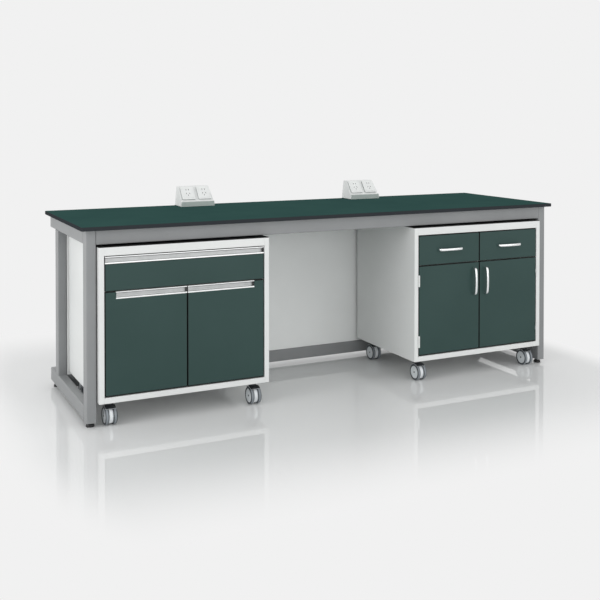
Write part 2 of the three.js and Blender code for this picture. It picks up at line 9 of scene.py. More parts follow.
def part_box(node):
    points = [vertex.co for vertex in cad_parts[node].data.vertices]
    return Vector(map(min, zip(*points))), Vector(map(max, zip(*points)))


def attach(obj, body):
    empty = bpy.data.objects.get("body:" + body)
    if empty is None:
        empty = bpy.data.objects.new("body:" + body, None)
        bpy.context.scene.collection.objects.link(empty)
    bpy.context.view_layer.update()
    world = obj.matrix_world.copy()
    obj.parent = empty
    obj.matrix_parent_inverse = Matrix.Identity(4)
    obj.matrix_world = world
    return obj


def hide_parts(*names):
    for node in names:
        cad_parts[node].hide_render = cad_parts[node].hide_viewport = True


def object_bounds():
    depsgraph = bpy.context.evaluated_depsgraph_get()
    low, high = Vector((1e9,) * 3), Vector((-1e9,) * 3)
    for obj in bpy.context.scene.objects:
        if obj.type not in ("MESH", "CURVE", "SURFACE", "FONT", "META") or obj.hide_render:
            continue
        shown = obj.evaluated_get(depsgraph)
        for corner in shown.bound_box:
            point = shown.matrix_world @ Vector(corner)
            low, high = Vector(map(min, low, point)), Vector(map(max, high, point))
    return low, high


# Laboratory bench with socket pods and two mobile cabinets.
# Metres, +Z up, +X to the right, and the front faces -Y.

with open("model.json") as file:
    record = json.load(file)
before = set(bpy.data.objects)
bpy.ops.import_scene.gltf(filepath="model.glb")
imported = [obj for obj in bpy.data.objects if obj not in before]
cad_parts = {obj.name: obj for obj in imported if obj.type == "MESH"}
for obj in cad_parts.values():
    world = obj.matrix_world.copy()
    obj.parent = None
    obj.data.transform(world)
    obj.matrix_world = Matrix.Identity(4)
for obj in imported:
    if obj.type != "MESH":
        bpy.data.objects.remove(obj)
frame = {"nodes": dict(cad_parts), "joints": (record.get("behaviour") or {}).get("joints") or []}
cad_low, cad_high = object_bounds()

MM = 0.001
X = Vector((1, 0, 0))
Y = Vector((0, 1, 0))
Z = Vector((0, 0, 1))

# Joint axes, by the body that turns on them
PIVOT = {j["child"]: Vector(j["pos_m"]) for j in frame["joints"] if "pos_m" in j}

# Turned profiles: how far each point steps in from the radius, and from the end or the face, in mm
PAD_STEPS = [(1.2, 0), (0, 1.2), (0, 6), (0.4, 6.84), (2.55, 11.4), (3.4, 12)]
WEB_STEPS = [(2, 0), (0.5, 0.8), (0, 2.4)]
HOUSING_STEPS = [
    (4, 0), (2.4, 1), (1, 13), (1.8, 13.4), (1.8, 14.8),
    (0.6, 15.2), (0, 16), (0, 21), (0.7, 21.7),
]
TREAD_OUTSIDE = [(6.3, 0.8), (5.3, 0.2), (3.9, 0), (2.1, 0.7), (0.8, 2.2), (0.8, 3.4), (0, 4.2)]
TREAD_INSIDE = [(0, 4.2), (0.8, 3.4), (0.8, 1.8), (2.3, 0.3), (3.9, 0)]

# Welded frame
TUBE_CORNER = 4 * MM
TUBE_WALL = 2 * MM
TUBE_END_CAP = 3 * MM
CUT_EDGE = 0.4 * MM
WELD = 3 * MM

# Levelling feet
PAD_RADIUS = 17 * MM
PAD_HEIGHT = 12 * MM
PAD_CROWN = 1 * MM
NUT_RADIUS = 11 * MM
NUT_HEIGHT = 6 * MM
NUT_EDGE = 0.5 * MM
STUD_RADIUS = 5 * MM
FOOT_GAP = 0.2 * MM

# Socket pods
POD_LIP_HEIGHT = 26 * MM
POD_LIP_DEPTH = 11 * MM
POD_SLOPE = math.radians(38)
POD_SLOPE_LENGTH = 88 * MM
POD_END_LEAN = 10 * MM
POD_EDGE = 2 * MM
POD_EDGE_STEPS = 3
POD_FOOT_ROUND = 0.8 * MM
POD_BACK_ROUND = 4 * MM
POD_BROW_ROUND = 2.5 * MM
POD_INNER_ROUND = 1.5 * MM
PLATE_WIDTH = 68 * MM
PLATE_HEIGHT = 74 * MM
PLATE_CORNER = 4 * MM
PLATE_EDGE = 0.6 * MM
PLATE_GAP = 0.2 * MM
PLATE_PROUD = 6 * MM
# The grey frame under each plate is there as painted shadow along the plate's edges
SHADOW_FRAME_PROUD = 3.6 * MM
SHADOW_FRAME_MARGIN = 0.5 * MM
INSERT_MARGIN = 8 * MM
INSERT_PROUD = 7 * MM
INSERT_EDGE = 0.3 * MM
PIN_FLOOR = 0.8 * MM
PIN_WIDTH = 2.4 * MM
PIN_LENGTH = 8 * MM
PIN_DEPTH = 9 * MM
# Where each pin slot lies on the plate in mm, and its tilt in degrees
PINS = [(-6.5, 19, 0), (6.5, 19, 0), (-8, -3, -30), (8, -3, 30), (0, -14, 0)]

# Castors
WHEEL_RADIUS = 37.5 * MM
WHEEL_OUTER = 25 * MM
WHEEL_INNER = 9 * MM
AXLE_RADIUS = 4 * MM
WEB_RADIUS = 33 * MM
WEB_HALF = 8 * MM
NECK_DEPTH = 22 * MM
NECK_LAP = 1 * MM
NECK_EDGE = 2 * MM
HOUSING_RADIUS = 22 * MM
HOUSING_HEIGHT = 22 * MM
HOOD_GAP = 1.2 * MM
HOOD_SHEET = 2.2 * MM
HOOD_ARC = math.radians(75)
HOOD_EDGE = 0.6 * MM
STEM_RADIUS = 5 * MM
DISC_SET_BACK = 2 * MM
DISC_BORE = 4.2 * MM
DISC_GROOVES = (8.6 * MM, 18 * MM)
DISC_RIM = 28.8 * MM
DISC_RIM_RISE = 0.3 * MM
RIM_GROOVE_FLOOR = 1.2 * MM
GROOVE_DEPTH = 0.9 * MM
GROOVE_SLOPE = 0.6 * MM
GROOVE_FLOOR = 1.4 * MM
AXLE_END = 1 * MM
AXLE_END_EDGE = 0.6 * MM

# Cabinets
SIDE_WALL = 21.5 * MM
BOTTOM_WALL = 24 * MM
BACK_WALL = 12 * MM
TOP_RAIL_HEIGHT = 34 * MM
TOP_RAIL_DEPTH = 60 * MM
DECK = 18 * MM
DIVIDER = 18 * MM
FRONT = 18 * MM
FRONT_STOP = 1 * MM
FRONT_GAP = 3.5 * MM
BOARD_EDGE = 0.6 * MM
# Dark band painted round each front: partly a dark edge band, partly painted shade of the gaps; wider at a
# door's foot as painted shadow of the gap under it
EDGE_AND_GAP_SHADE_BAND = 2 * MM
DOOR_FOOT_SHADOW_BAND = 4 * MM
GLUE_LINE = 0.15 * MM
PEG_RADIUS = 4 * MM
PEG_REACH = 11 * MM
PEG_INSET = 60 * MM

# Drawers and runners
DRAWER_WALL = 12 * MM
DRAWER_FLOOR = 8 * MM
RUNNER_WIDTH = 11.5 * MM
RUNNER_HEIGHT = 10 * MM
RUNNER_RISE = 22 * MM
RUNNER_SHEET = 1.2 * MM
RUNNER_GAP = 0.2 * MM
RUNNER_LIP = 4 * MM
SHEET_EDGE = 0.2 * MM
ROLLER_RADIUS = 4.2 * MM
ROLLER_INSET = 14 * MM

# Pulls, handles and hinges
PULL_LIP = 6 * MM
PULL_WALL = 2.5 * MM
PULL_TOP = 4 * MM
PULL_HOLLOW = 6 * MM
PULL_CAP = 2 * MM
PULL_EDGE = 0.6 * MM
BOW_SPACING = 128 * MM
BOW_REACH = 28 * MM
BOW_WIDTH = 12 * MM
BOW_THICKNESS = 6 * MM
BOW_SHOULDER = 12 * MM
BOW_CROWN = 0.86
BOW_STEPS = 8
KNUCKLE_RADIUS = 4 * MM
KNUCKLE_EDGE = 0.4 * MM
KNUCKLE_GAP = 0.35 * MM
HINGE_PIN_RADIUS = 2 * MM
LEAF_DEPTH = 17 * MM
ARM_RISE = 70 * MM
ARM_LENGTH = 62 * MM
ARM_HEIGHT = 18 * MM
ARM_WIDTH = 14 * MM
ARM_PLATE_LENGTH = 37.2 * MM
ARM_PLATE_PLACE = 40.92 * MM
ARM_PLATE_THICKNESS = 3 * MM
ARM_PLATE_CORNER = 3 * MM
ARM_PLATE_EDGE = 0.5 * MM
ARM_BAR_HEIGHT = 10.8 * MM
ARM_BAR_CORNER = 2.5 * MM
ARM_BAR_RISE = 3.2 * MM
ARM_BAR_EDGE = 1.5 * MM
ARM_SCREWS = (31 * MM, 49.6 * MM)
CUP_RADIUS = 17.5 * MM
CUP_INSET = 24 * MM
CUP_PROUD = 0.15 * MM
SCREW_RADIUS = 2.6 * MM
SCREW_RIM = 0.5 * MM
SCREW_CROWN_RADIUS = 1.82 * MM
SCREW_SHOULDER = 1.1 * MM
SCREW_HEIGHT = 1.3 * MM

# Roundness of the meshes
SHARP = math.radians(38)
CORNER_STEPS = 5
EDGE_STEPS = 2
TURNED_STEPS = 48
SMALL_STEPS = 20
EASED = 0.3 * MM
TINY = 1e-7
# How squarely a face has to face a direction to count as facing it
FACING = 0.9

SIDES = {"left": -1, "right": 1}


# Materials

# Noise lies mostly between these two values
NOISE_LOW = 0.3
NOISE_HIGH = 0.7
PEBBLE_STRENGTH = 0.5
PEBBLE_GLOSS = 0.06
BRUSH_STRENGTH = 0.15
BRUSH_GLOSS = 0.05
BRUSH_DEPTH = 0.02 * MM
BRUSH_LINE_MM = 0.8
BRUSH_LENGTH_MM = 60


def linear(code):
    """The linear colour of an sRGB hex code."""
    shares = [int(code[i:i + 2], 16) / 255 for i in (1, 3, 5)]
    return (*[s / 12.92 if s <= 0.04045 else ((s + 0.055) / 1.055) ** 2.4 for s in shares], 1.0)


def add(tree, kind, inputs=None, **settings):
    """One node, with its settings and with its inputs linked or set."""
    node = tree.nodes.new(kind)
    for name, value in settings.items():
        setattr(node, name, value)
    for name, value in (inputs or {}).items():
        if isinstance(value, bpy.types.NodeSocket):
            tree.links.new(value, node.inputs[name])
        else:
            node.inputs[name].default_value = value
    return node


def per_metre(size_mm):
    """How often a pattern of this size repeats in a metre."""
    return 1000 / size_mm


def begin(name, inputs):
    """A new material, its node tree, its shader and the place on the piece in metres."""
    material = bpy.data.materials.new(name)
    material.use_nodes = True
    tree = material.node_tree
    shader = tree.nodes["Principled BSDF"]
    for socket, value in inputs.items():
        shader.inputs[socket].default_value = value
    return material, tree, shader, add(tree, "ShaderNodeTexCoord").outputs["Object"]


def tone(tree, place, patch_mm, first, second):
    """A colour that drifts between two close tones over patches of this size."""
    cloud = add(tree, "ShaderNodeTexNoise", {"Vector": place, "Scale": per_metre(patch_mm), "Detail": 4.0})
    ramp = add(tree, "ShaderNodeValToRGB", {"Fac": cloud.outputs["Fac"]})
    for stop, at, code in zip(ramp.color_ramp.elements, (NOISE_LOW, NOISE_HIGH), (first, second)):
        stop.position = at
        stop.color = linear(code)
    return ramp.outputs["Color"]


def pebbled(tree, shader, place, grain_mm, height_mm, roughness):
    """A fine pebbled surface: bumps of this size, and gloss that varies with them."""
    grain = add(tree, "ShaderNodeTexNoise", {"Vector": place, "Scale": per_metre(grain_mm), "Detail": 3.0})
    bump = add(tree, "ShaderNodeBump", {
        "Height": grain.outputs["Fac"],
        "Strength": PEBBLE_STRENGTH,
        "Distance": height_mm * MM,
    })
    gloss = add(tree, "ShaderNodeMapRange", {
        "Value": grain.outputs["Fac"],
        "From Min": NOISE_LOW,
        "From Max": NOISE_HIGH,
        "To Min": roughness - PEBBLE_GLOSS,
        "To Max": roughness + PEBBLE_GLOSS,
    })
    tree.links.new(bump.outputs["Normal"], shader.inputs["Normal"])
    tree.links.new(gloss.outputs["Result"], shader.inputs["Roughness"])


def compact_laminate():
    # Compact laminate: resin-soaked sheets pressed under heat, a green decor face over a black core.
    # The eye sees a matt green face with a fine pressed texture, and a near-black line at the edge.
    material, tree, shader, place = begin("compact_laminate", {"IOR": 1.5, "Specular IOR Level": 0.0})
    core = linear("#34373a")
    decor = tone(tree, place, patch_mm=240, first="#324e4b", second="#36534f")
    normal = add(tree, "ShaderNodeNewGeometry").outputs["Normal"]
    upright = add(tree, "ShaderNodeSeparateXYZ", {"Vector": normal}).outputs["Z"]
    level = add(tree, "ShaderNodeMath", {0: upright}, operation="ABSOLUTE").outputs[0]
    face = add(tree, "ShaderNodeMath", {0: level, 1: FACING}, operation="GREATER_THAN").outputs[0]
    colour = add(tree, "ShaderNodeMix", {"Factor": face, "A": core, "B": decor}, data_type="RGBA")
    tree.links.new(colour.outputs["Result"], shader.inputs["Base Color"])
    # The real grain is about 0.3 mm; it is drawn at 2 mm so that it shows
    pebbled(tree, shader, place, grain_mm=2.0, height_mm=0.05, roughness=0.6)
    return material


def board(name, first, second, roughness, edged_and_shaded=None, foot_shadow_band=EDGE_AND_GAP_SHADE_BAND):
    # Melamine-faced chipboard: printed paper pressed on to board between textured plates.
    # The eye sees an even colour with a soft pearl that breaks up reflections,
    # and on the fronts a thin dark band all round, which is partly a dark edge band and partly painted
    # shade of the gaps between them, and which may be wider at the foot as painted shadow of the gap under
    # a door.
    material, tree, shader, place = begin(name, {"IOR": 1.5, "Specular IOR Level": 0.2})
    colour = tone(tree, place, patch_mm=300, first=first, second=second)
    if edged_and_shaded:
        # Near-black rim on a front: partly a dark edge band, partly painted shade of the gaps round it; the
        # wider foot is painted shadow of the gap under a door
        edging_and_gap_shade = linear("#0d1110")
        low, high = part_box(edged_and_shaded)
        low += Vector((EDGE_AND_GAP_SHADE_BAND, 0, foot_shadow_band))
        high -= Vector((EDGE_AND_GAP_SHADE_BAND, 0, EDGE_AND_GAP_SHADE_BAND))
        middle = (low + high) / 2
        reach = (high - low) / 2
        spot = add(tree, "ShaderNodeSeparateXYZ", {"Vector": place}).outputs
        within = []
        for axis, centre, half in (("X", middle.x, reach.x), ("Z", middle.z, reach.z)):
            past = add(tree, "ShaderNodeMath", {0: spot[axis], 1: centre}, operation="SUBTRACT").outputs[0]
            size = add(tree, "ShaderNodeMath", {0: past}, operation="ABSOLUTE").outputs[0]
            within.append(add(tree, "ShaderNodeMath", {0: size, 1: half}, operation="LESS_THAN").outputs[0])
        face = add(tree, "ShaderNodeMath", {0: within[0], 1: within[1]}, operation="MULTIPLY").outputs[0]
        mixed = add(tree, "ShaderNodeMix", {"Factor": face, "A": edging_and_gap_shade, "B": colour}, data_type="RGBA")
        colour = mixed.outputs["Result"]
    tree.links.new(colour, shader.inputs["Base Color"])
    # The real pearl is about 0.5 mm; it is drawn at 1.6 mm so that it shows
    pebbled(tree, shader, place, grain_mm=1.6, height_mm=0.03, roughness=roughness)
    return material


def powder_coat(name, first, second):
    # Powder coat on steel: paint dust melted in an oven, which leaves a low orange peel.
    # The eye sees a satin skin with small soft waves in its highlights.
    material, tree, shader, place = begin(name, {"IOR": 1.5, "Specular IOR Level": 0.3})
    colour = tone(tree, place, patch_mm=200, first=first, second=second)
    tree.links.new(colour, shader.inputs["Base Color"])
    pebbled(tree, shader, place, grain_mm=1.8, height_mm=0.06, roughness=0.38)
    return material


def moulded(name, first, second, roughness):
    # Injection-moulded plastic from a spark-eroded tool.
    # The eye sees an even, slightly soft surface with a fine grain.
    material, tree, shader, place = begin(name, {"IOR": 1.49})
    colour = tone(tree, place, patch_mm=40, first=first, second=second)
    tree.links.new(colour, shader.inputs["Base Color"])
    # The real grain is about 0.1 mm; it is drawn at 0.9 mm so that it shows
    pebbled(tree, shader, place, grain_mm=0.9, height_mm=0.02, roughness=roughness)
    return material


def drawn_metal(name, first, second, roughness, along=0):
    # Drawn or brushed metal: fine lines run along the piece, on its axis of this number.
    # The eye sees highlights that the lines stretch across the piece.
    material, tree, shader, place = begin(name, {"Metallic": 1.0})
    colour = tone(tree, place, patch_mm=30, first=first, second=second)
    tree.links.new(colour, shader.inputs["Base Color"])
    # The real lines are about 0.1 mm wide; they are drawn at 0.8 mm so that they show
    stretch = [per_metre(BRUSH_LINE_MM)] * 3
    stretch[along] = per_metre(BRUSH_LENGTH_MM)
    lines = add(tree, "ShaderNodeMapping", {"Vector": place, "Scale": stretch}).outputs["Vector"]
    brush = add(tree, "ShaderNodeTexNoise", {"Vector": lines, "Scale": 1.0, "Detail": 2.0}).outputs["Fac"]
    gloss = add(tree, "ShaderNodeMapRange", {
        "Value": brush,
        "To Min": roughness - BRUSH_GLOSS,
        "To Max": roughness + BRUSH_GLOSS,
    })
    bump = add(tree, "ShaderNodeBump", {
        "Height": brush,
        "Strength": BRUSH_STRENGTH,
        "Distance": BRUSH_DEPTH,
    })
    tree.links.new(gloss.outputs["Result"], shader.inputs["Roughness"])
    tree.links.new(bump.outputs["Normal"], shader.inputs["Normal"])
    return material


LAMINATE = compact_laminate()
GREY_PAINT = powder_coat("grey_powder_coat", "#868889", "#8d8f90")
WHITE_PAINT = powder_coat("white_powder_coat", "#dcdedd", "#e4e6e5")
PANEL_BOARD = board("bright_white_melamine", "#e9ebea", "#eef0ef", roughness=0.42)
WHITE_BOARD = board("white_melamine", "#dcdedd", "#e2e4e3", roughness=0.42)
BLACK_BOARD = board("black_fibreboard", "#0b0b0c", "#101011", roughness=0.65)
WHITE_ABS = moulded("white_abs", "#e3e5e4", "#e8eae9", roughness=0.4)
# Grey-green for the pod lip's front: painted shade and painted reflection of the green worktop
LIP_SHADE_ABS = moulded("lip_painted_shade_and_reflection", "#aab4b0", "#b2bcb8", roughness=0.4)
# Dark grey for the frame under the socket plates: painted shadow along the plates' edges
PLATE_SHADOW_ABS = moulded("plate_edge_painted_shadow", "#747c7a", "#7c8482", roughness=0.4)
GLOSS_WHITE = moulded("white_urea_plastic", "#e9ebea", "#eef0ef", roughness=0.22)
# Near-black for the walls of the pin slots: painted shade of the deep holes
PIN_HOLE_SHADE = moulded("pin_hole_painted_shade", "#101112", "#161718", roughness=0.6)
PALE_NYLON = moulded("pale_grey_nylon", "#e0e4e7", "#e8ecef", roughness=0.38)
DISC_NYLON = moulded("grey_nylon", "#d3d8db", "#dde2e5", roughness=0.38)
TREAD = moulded("polyurethane_tread", "#7c8287", "#868c91", roughness=0.5)
RIM = moulded("polyurethane_rim", "#3c4247", "#464c51", roughness=0.5)
DARK_NYLON = moulded("dark_grey_nylon", "#26292c", "#2e3235", roughness=0.45)
BLACK_NYLON = moulded("black_nylon", "#111112", "#19191a", roughness=0.5)
# Duller aluminium for the pull's channel: partly its anodised finish, partly painted shade of the hollow
# behind the lips
ALUMINIUM = drawn_metal("anodised_aluminium_painted_shade", "#abadad", "#b7b9b9", roughness=0.38)
BRIGHT_ALUMINIUM = drawn_metal("bright_cut_aluminium", "#eceeee", "#f2f3f3", roughness=0.3)
CHROME = drawn_metal("satin_chrome", "#e2e4e5", "#eceeee", roughness=0.26)
ZINC = drawn_metal("zinc_plated_steel", "#aeb2b4", "#bcc0c2", roughness=0.36, along=1)


# Mesh tools

def axes(origin, u, v, w):
    """Places an outline drawn along u and v, which runs along w."""
    return Matrix.Translation(origin) @ Matrix((u, v, w)).transposed().to_4x4()


def fillet(points, radii, steps=CORNER_STEPS):
    """An outline with each corner rounded by an arc of its radius."""
    outline = []
    for i, radius in enumerate(radii):
        here = Vector(points[i])
        before = (Vector(points[i - 1]) - here).normalized()
        after = (Vector(points[(i + 1) % len(points)]) - here).normalized()
        if radius == 0:
            outline.append(here)
            continue
        half = before.angle(after) / 2
        middle = here + (before + after).normalized() * (radius / math.sin(half))
        start = here + before * (radius / math.tan(half)) - middle
        end = here + after * (radius / math.tan(half)) - middle
        sweep = math.atan2(start.cross(end), start.dot(end))
        outline += [middle + Matrix.Rotation(sweep * k / steps, 2) @ start for k in range(steps + 1)]
    return outline


def rectangle(width, height, radius=0.0, steps=CORNER_STEPS):
    """An upright rectangle about the origin, with its corners rounded."""
    x = width / 2
    y = height / 2
    return fillet([(x, -y), (x, y), (-x, y), (-x, -y)], [radius] * 4, steps)


def bands(rings):
    """The quads between each ring of corners and the next."""
    for a, b in zip(rings, rings[1:]):
        for i in range(max(len(a), len(b))):
            corners = (a[i % len(a)], a[(i + 1) % len(a)], b[(i + 1) % len(b)], b[i % len(b)])
            yield tuple(dict.fromkeys(corners))


def round_edges(bm, faces, radius, steps):
    """Rounds the sharp edges of these faces."""
    for face in faces:
        face.normal_update()
    edges = dict.fromkeys(e for face in faces for e in face.edges)
    sharp = [e for e in edges if e.calc_face_angle(0.0) > SHARP]
    bmesh.ops.bevel(bm, geom=sharp, offset=radius, segments=steps, profile=0.5, affect="EDGES")


def prism(bm, outline, depth, place, rounding=0.0, finish=0, steps=EDGE_STEPS):
    """A closed solid of this outline, with its edges rounded."""
    rings = [[bm.verts.new(place @ Vector((p[0], p[1], w))) for p in outline] for w in (0.0, depth)]
    faces = [bm.faces.new(rings[0][::-1]), bm.faces.new(rings[1])]
    faces += [bm.faces.new(corners) for corners in bands(rings)]
    for face in faces:
        face.material_index = finish
    if rounding:
        round_edges(bm, faces, rounding, steps)


def box(bm, low, high, rounding=BOARD_EDGE, finish=0):
    """A block between two corners, with its edges rounded."""
    outline = [(low[0], low[1]), (high[0], low[1]), (high[0], high[1]), (low[0], high[1])]
    prism(bm, outline, high[2] - low[2], Matrix.Translation((0, 0, low[2])), rounding, finish)


def tube(bm, outline, bore, depth, place):
    """An open tube: an outline with a bore of as many corners."""
    shapes = ((outline, 0.0), (outline, depth), (bore, depth), (bore, 0.0))
    rings = [[bm.verts.new(place @ Vector((p[0], p[1], w))) for p in shape] for shape, w in shapes]
    for corners in bands(rings + rings[:1]):
        bm.faces.new(corners)


def turned(bm, profile, place, steps=TURNED_STEPS, finishes=None):
    """A turned solid: radius and height along the place's third axis, from pole to pole."""
    rings = []
    for radius, along in profile:
        count = 1 if radius < TINY else steps
        turns = [2 * math.pi * k / count for k in range(count)]
        spots = [Vector((radius * math.cos(t), radius * math.sin(t), along)) for t in turns]
        rings.append([bm.verts.new(place @ spot) for spot in spots])
    for i, pair in enumerate(zip(rings, rings[1:])):
        for corners in bands(pair):
            bm.faces.new(corners).material_index = finishes[i] if finishes else 0


def stepped(radius, steps, base=0.0, toward=1):
    """The points of a turned profile that steps in from a radius, away from a base."""
    return [(radius - inset * MM, base + toward * height * MM) for inset, height in steps]


def rod(bm, radius, length, place, steps=SMALL_STEPS, finish=0, edge=EASED):
    """A round bar with eased ends."""
    profile = [
        (0, 0),
        (radius - edge, 0),
        (radius, edge),
        (radius, length - edge),
        (radius - edge, length),
        (0, length),
    ]
    turned(bm, profile, place, steps, [finish] * (len(profile) - 1))


def screw(bm, place):
    """A low domed screw head that stands on the place's plane."""
    profile = [
        (0, 0),
        (SCREW_RADIUS, 0),
        (SCREW_RADIUS, SCREW_RIM),
        (SCREW_CROWN_RADIUS, SCREW_SHOULDER),
        (0, SCREW_HEIGHT),
    ]
    turned(bm, profile, place, SMALL_STEPS)


def scratch(bm, name):
    """An object of its own for a mesh, with its faces pointing out."""
    bmesh.ops.recalc_face_normals(bm, faces=bm.faces)
    mesh = bpy.data.meshes.new(name)
    bm.to_mesh(mesh)
    bm.free()
    holder = bpy.data.objects.new(name, mesh)
    bpy.context.scene.collection.objects.link(holder)
    return holder


def carve(bm, cutter):
    """Cuts one mesh out of another and returns what is left."""
    holders = [scratch(bm, "whole"), scratch(cutter, "cutter")]
    cut = holders[0].modifiers.new("cut", "BOOLEAN")
    cut.object = holders[1]
    cut.solver = "EXACT"
    rest = bmesh.new()
    rest.from_object(holders[0], bpy.context.evaluated_depsgraph_get())
    for holder in holders:
        bpy.data.meshes.remove(holder.data)
    return rest


def piece(name, bm, finishes, body, slot, *stands_for):
    """Makes a mesh a piece of the object that rides on a body."""
    obj = scratch(bm, name)
    for material in finishes:
        obj.data.materials.append(material)
    obj.data.shade_smooth()
    obj.data.set_sharp_from_angle(angle=SHARP)
    obj.modifiers.new("flat_faces", "WEIGHTED_NORMAL").keep_sharp = True
    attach(obj, body)
    if stands_for:
        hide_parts(*stands_for)
    return obj


def dress(node, material):
    """Gives a frame node its finish."""
    frame["nodes"][node].material_slots[0].material = material


def dress_front(node, foot_shadow_band=EDGE_AND_GAP_SHADE_BAND):
    """Gives a door or a drawer front green board with its own dark rim band, partly an edge band and partly
    painted shade of the gaps.
    """
    name = f"green_melamine_{node}"
    dress(node, board(name, "#2f4542", "#334946", roughness=0.4, edged_and_shaded=node, foot_shadow_band=foot_shadow_band))


# Bench

def end_frame(side):
    """A welded end frame: two legs, two rails with caps in their ends, and a weld bead in each corner."""
    node = f"{side}_end_frame"
    low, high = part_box(node)
    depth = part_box("front_rail")[1].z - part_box("front_rail")[0].z
    width = high.x - low.x
    x = (low.x + high.x) / 2
    rear_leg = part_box("rear_top_rail")[0].y
    section = rectangle(width, depth, TUBE_CORNER)
    cap = rectangle(width - TUBE_WALL, depth - TUBE_WALL, TUBE_CORNER)
    bm = bmesh.new()
    for y, bottom, top in ((low.y, low.z, high.z), (rear_leg, low.z + depth, high.z - depth)):
        prism(bm, section, top - bottom, Matrix.Translation((x, y + depth / 2, bottom)), CUT_EDGE)
    for z in (low.z + depth / 2, high.z - depth / 2):
        start = low.y + depth
        end = high.y - TUBE_END_CAP
        prism(bm, section, end - start, axes((x, start, z), X, Z, Y), CUT_EDGE)
        prism(bm, cap, TUBE_END_CAP, axes((x, end, z), X, Z, Y), CUT_EDGE, 1)
    quarter = [(0, 0), (WELD, 0)]
    quarter += [(WELD * (1 - math.sin(t)), WELD * (1 - math.cos(t))) for t in (math.pi / 6, math.pi / 3)]
    quarter += [(0, WELD)]
    across = width - 2 * TUBE_CORNER
    for y, toward in ((low.y + depth, Y), (rear_leg, -Y), (rear_leg + depth, Y)):
        for z, up in ((low.z + depth, Z), (high.z - depth, -Z)):
            prism(bm, quarter, across, axes((x - across / 2, y, z), toward, up, X))
    piece(f"{side}_welded_frame", bm, [GREY_PAINT, BLACK_NYLON], "bench", "frame_paint", node)


def cross_rail(node):
    """A rail of open tube between the end frames."""
    low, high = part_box(node)
    middle = (low + high) / 2
    size = high - low
    bm = bmesh.new()
    outer = rectangle(size.y, size.z, TUBE_CORNER)
    bore = rectangle(size.y - 2 * TUBE_WALL, size.z - 2 * TUBE_WALL, TUBE_CORNER - TUBE_WALL)
    tube(bm, outer, bore, size.x, axes((low.x, middle.y, middle.z), Y, Z, X))
    piece(f"{node}_tube", bm, [GREY_PAINT], "bench", "frame_paint", node)


def foot(node):
    """A levelling foot: a pad on a stud, with a lock nut under the frame."""
    low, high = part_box(node)
    spot = Matrix.Translation(((low.x + high.x) / 2, (low.y + high.y) / 2, low.z))
    under_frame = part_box("left_end_frame")[0].z - low.z - FOOT_GAP
    bm = bmesh.new()
    pad = [(0, 0)] + stepped(PAD_RADIUS, PAD_STEPS)
    stud = [
        (STUD_RADIUS, PAD_HEIGHT + PAD_CROWN),
        (STUD_RADIUS, high.z - low.z),
        (0, high.z - low.z),
    ]
    rubber, steel, nylon = range(3)
    turned(bm, pad + stud, spot, TURNED_STEPS, [rubber] * len(pad) + [steel] * 2)
    turns = [k * math.pi / 3 for k in range(6)]
    hexagon = [(NUT_RADIUS * math.cos(t), NUT_RADIUS * math.sin(t)) for t in turns]
    nut = spot @ Matrix.Translation((0, 0, under_frame - NUT_HEIGHT))
    prism(bm, hexagon, NUT_HEIGHT, nut, NUT_EDGE, nylon)
    piece(f"{node}_leveller", bm, [BLACK_NYLON, ZINC, DARK_NYLON], node, "foot_rubber", node)


def pod(side):
    """A socket pod: a housing with leaning ends, a lip whose front is toned grey-green as painted shade and
    painted reflection of the worktop, and two sockets on its slope.
    """
    node = f"{side}_pod_housing"
    low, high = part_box(node)
    size = high - low
    run = POD_SLOPE_LENGTH * math.sin(POD_SLOPE)
    corners = [
        (0, 0),
        (size.y, 0),
        (size.y, size.z),
        (POD_LIP_DEPTH + run, size.z),
        (POD_LIP_DEPTH, POD_LIP_HEIGHT),
        (0, POD_LIP_HEIGHT),
    ]
    radii = [
        POD_FOOT_ROUND,
        POD_FOOT_ROUND,
        POD_BACK_ROUND,
        POD_BROW_ROUND,
        POD_INNER_ROUND,
        POD_BROW_ROUND,
    ]
    bm = bmesh.new()
    prism(bm, fillet(corners, radii), size.x, axes(low, Y, Z, X), POD_EDGE, steps=POD_EDGE_STEPS)
    middle = (low.x + high.x) / 2
    for vert in bm.verts:
        lean = POD_END_LEAN * (vert.co.z - low.z) / size.z
        vert.co.x -= math.copysign(lean, vert.co.x - middle)
    # The lip's front faces get the grey-green finish: painted shade and painted reflection of the worktop
    for skin in bm.faces:
        skin.normal_update()
        lip = skin.calc_center_median().z < low.z + POD_LIP_HEIGHT - 2 * POD_EDGE
        skin.material_index = int(lip and skin.normal.y < -FACING)
    piece(f"{side}_pod_shell", bm, [WHITE_ABS, LIP_SHADE_ABS], "bench", "pod_plastic", node)
    up_slope = Vector((0, math.sin(POD_SLOPE), math.cos(POD_SLOPE)))
    out = Vector((0, -math.cos(POD_SLOPE), math.sin(POD_SLOPE)))
    foot_of_slope = Vector((0, low.y + POD_LIP_DEPTH, low.z + POD_LIP_HEIGHT))
    for hand in SIDES:
        socket_node = f"{side}_pod_{hand}_socket"
        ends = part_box(socket_node)
        middle = foot_of_slope + up_slope * POD_SLOPE_LENGTH / 2
        middle.x = (ends[0].x + ends[1].x) / 2
        socket(socket_node, axes(middle + out * PLATE_GAP, X, up_slope, out))


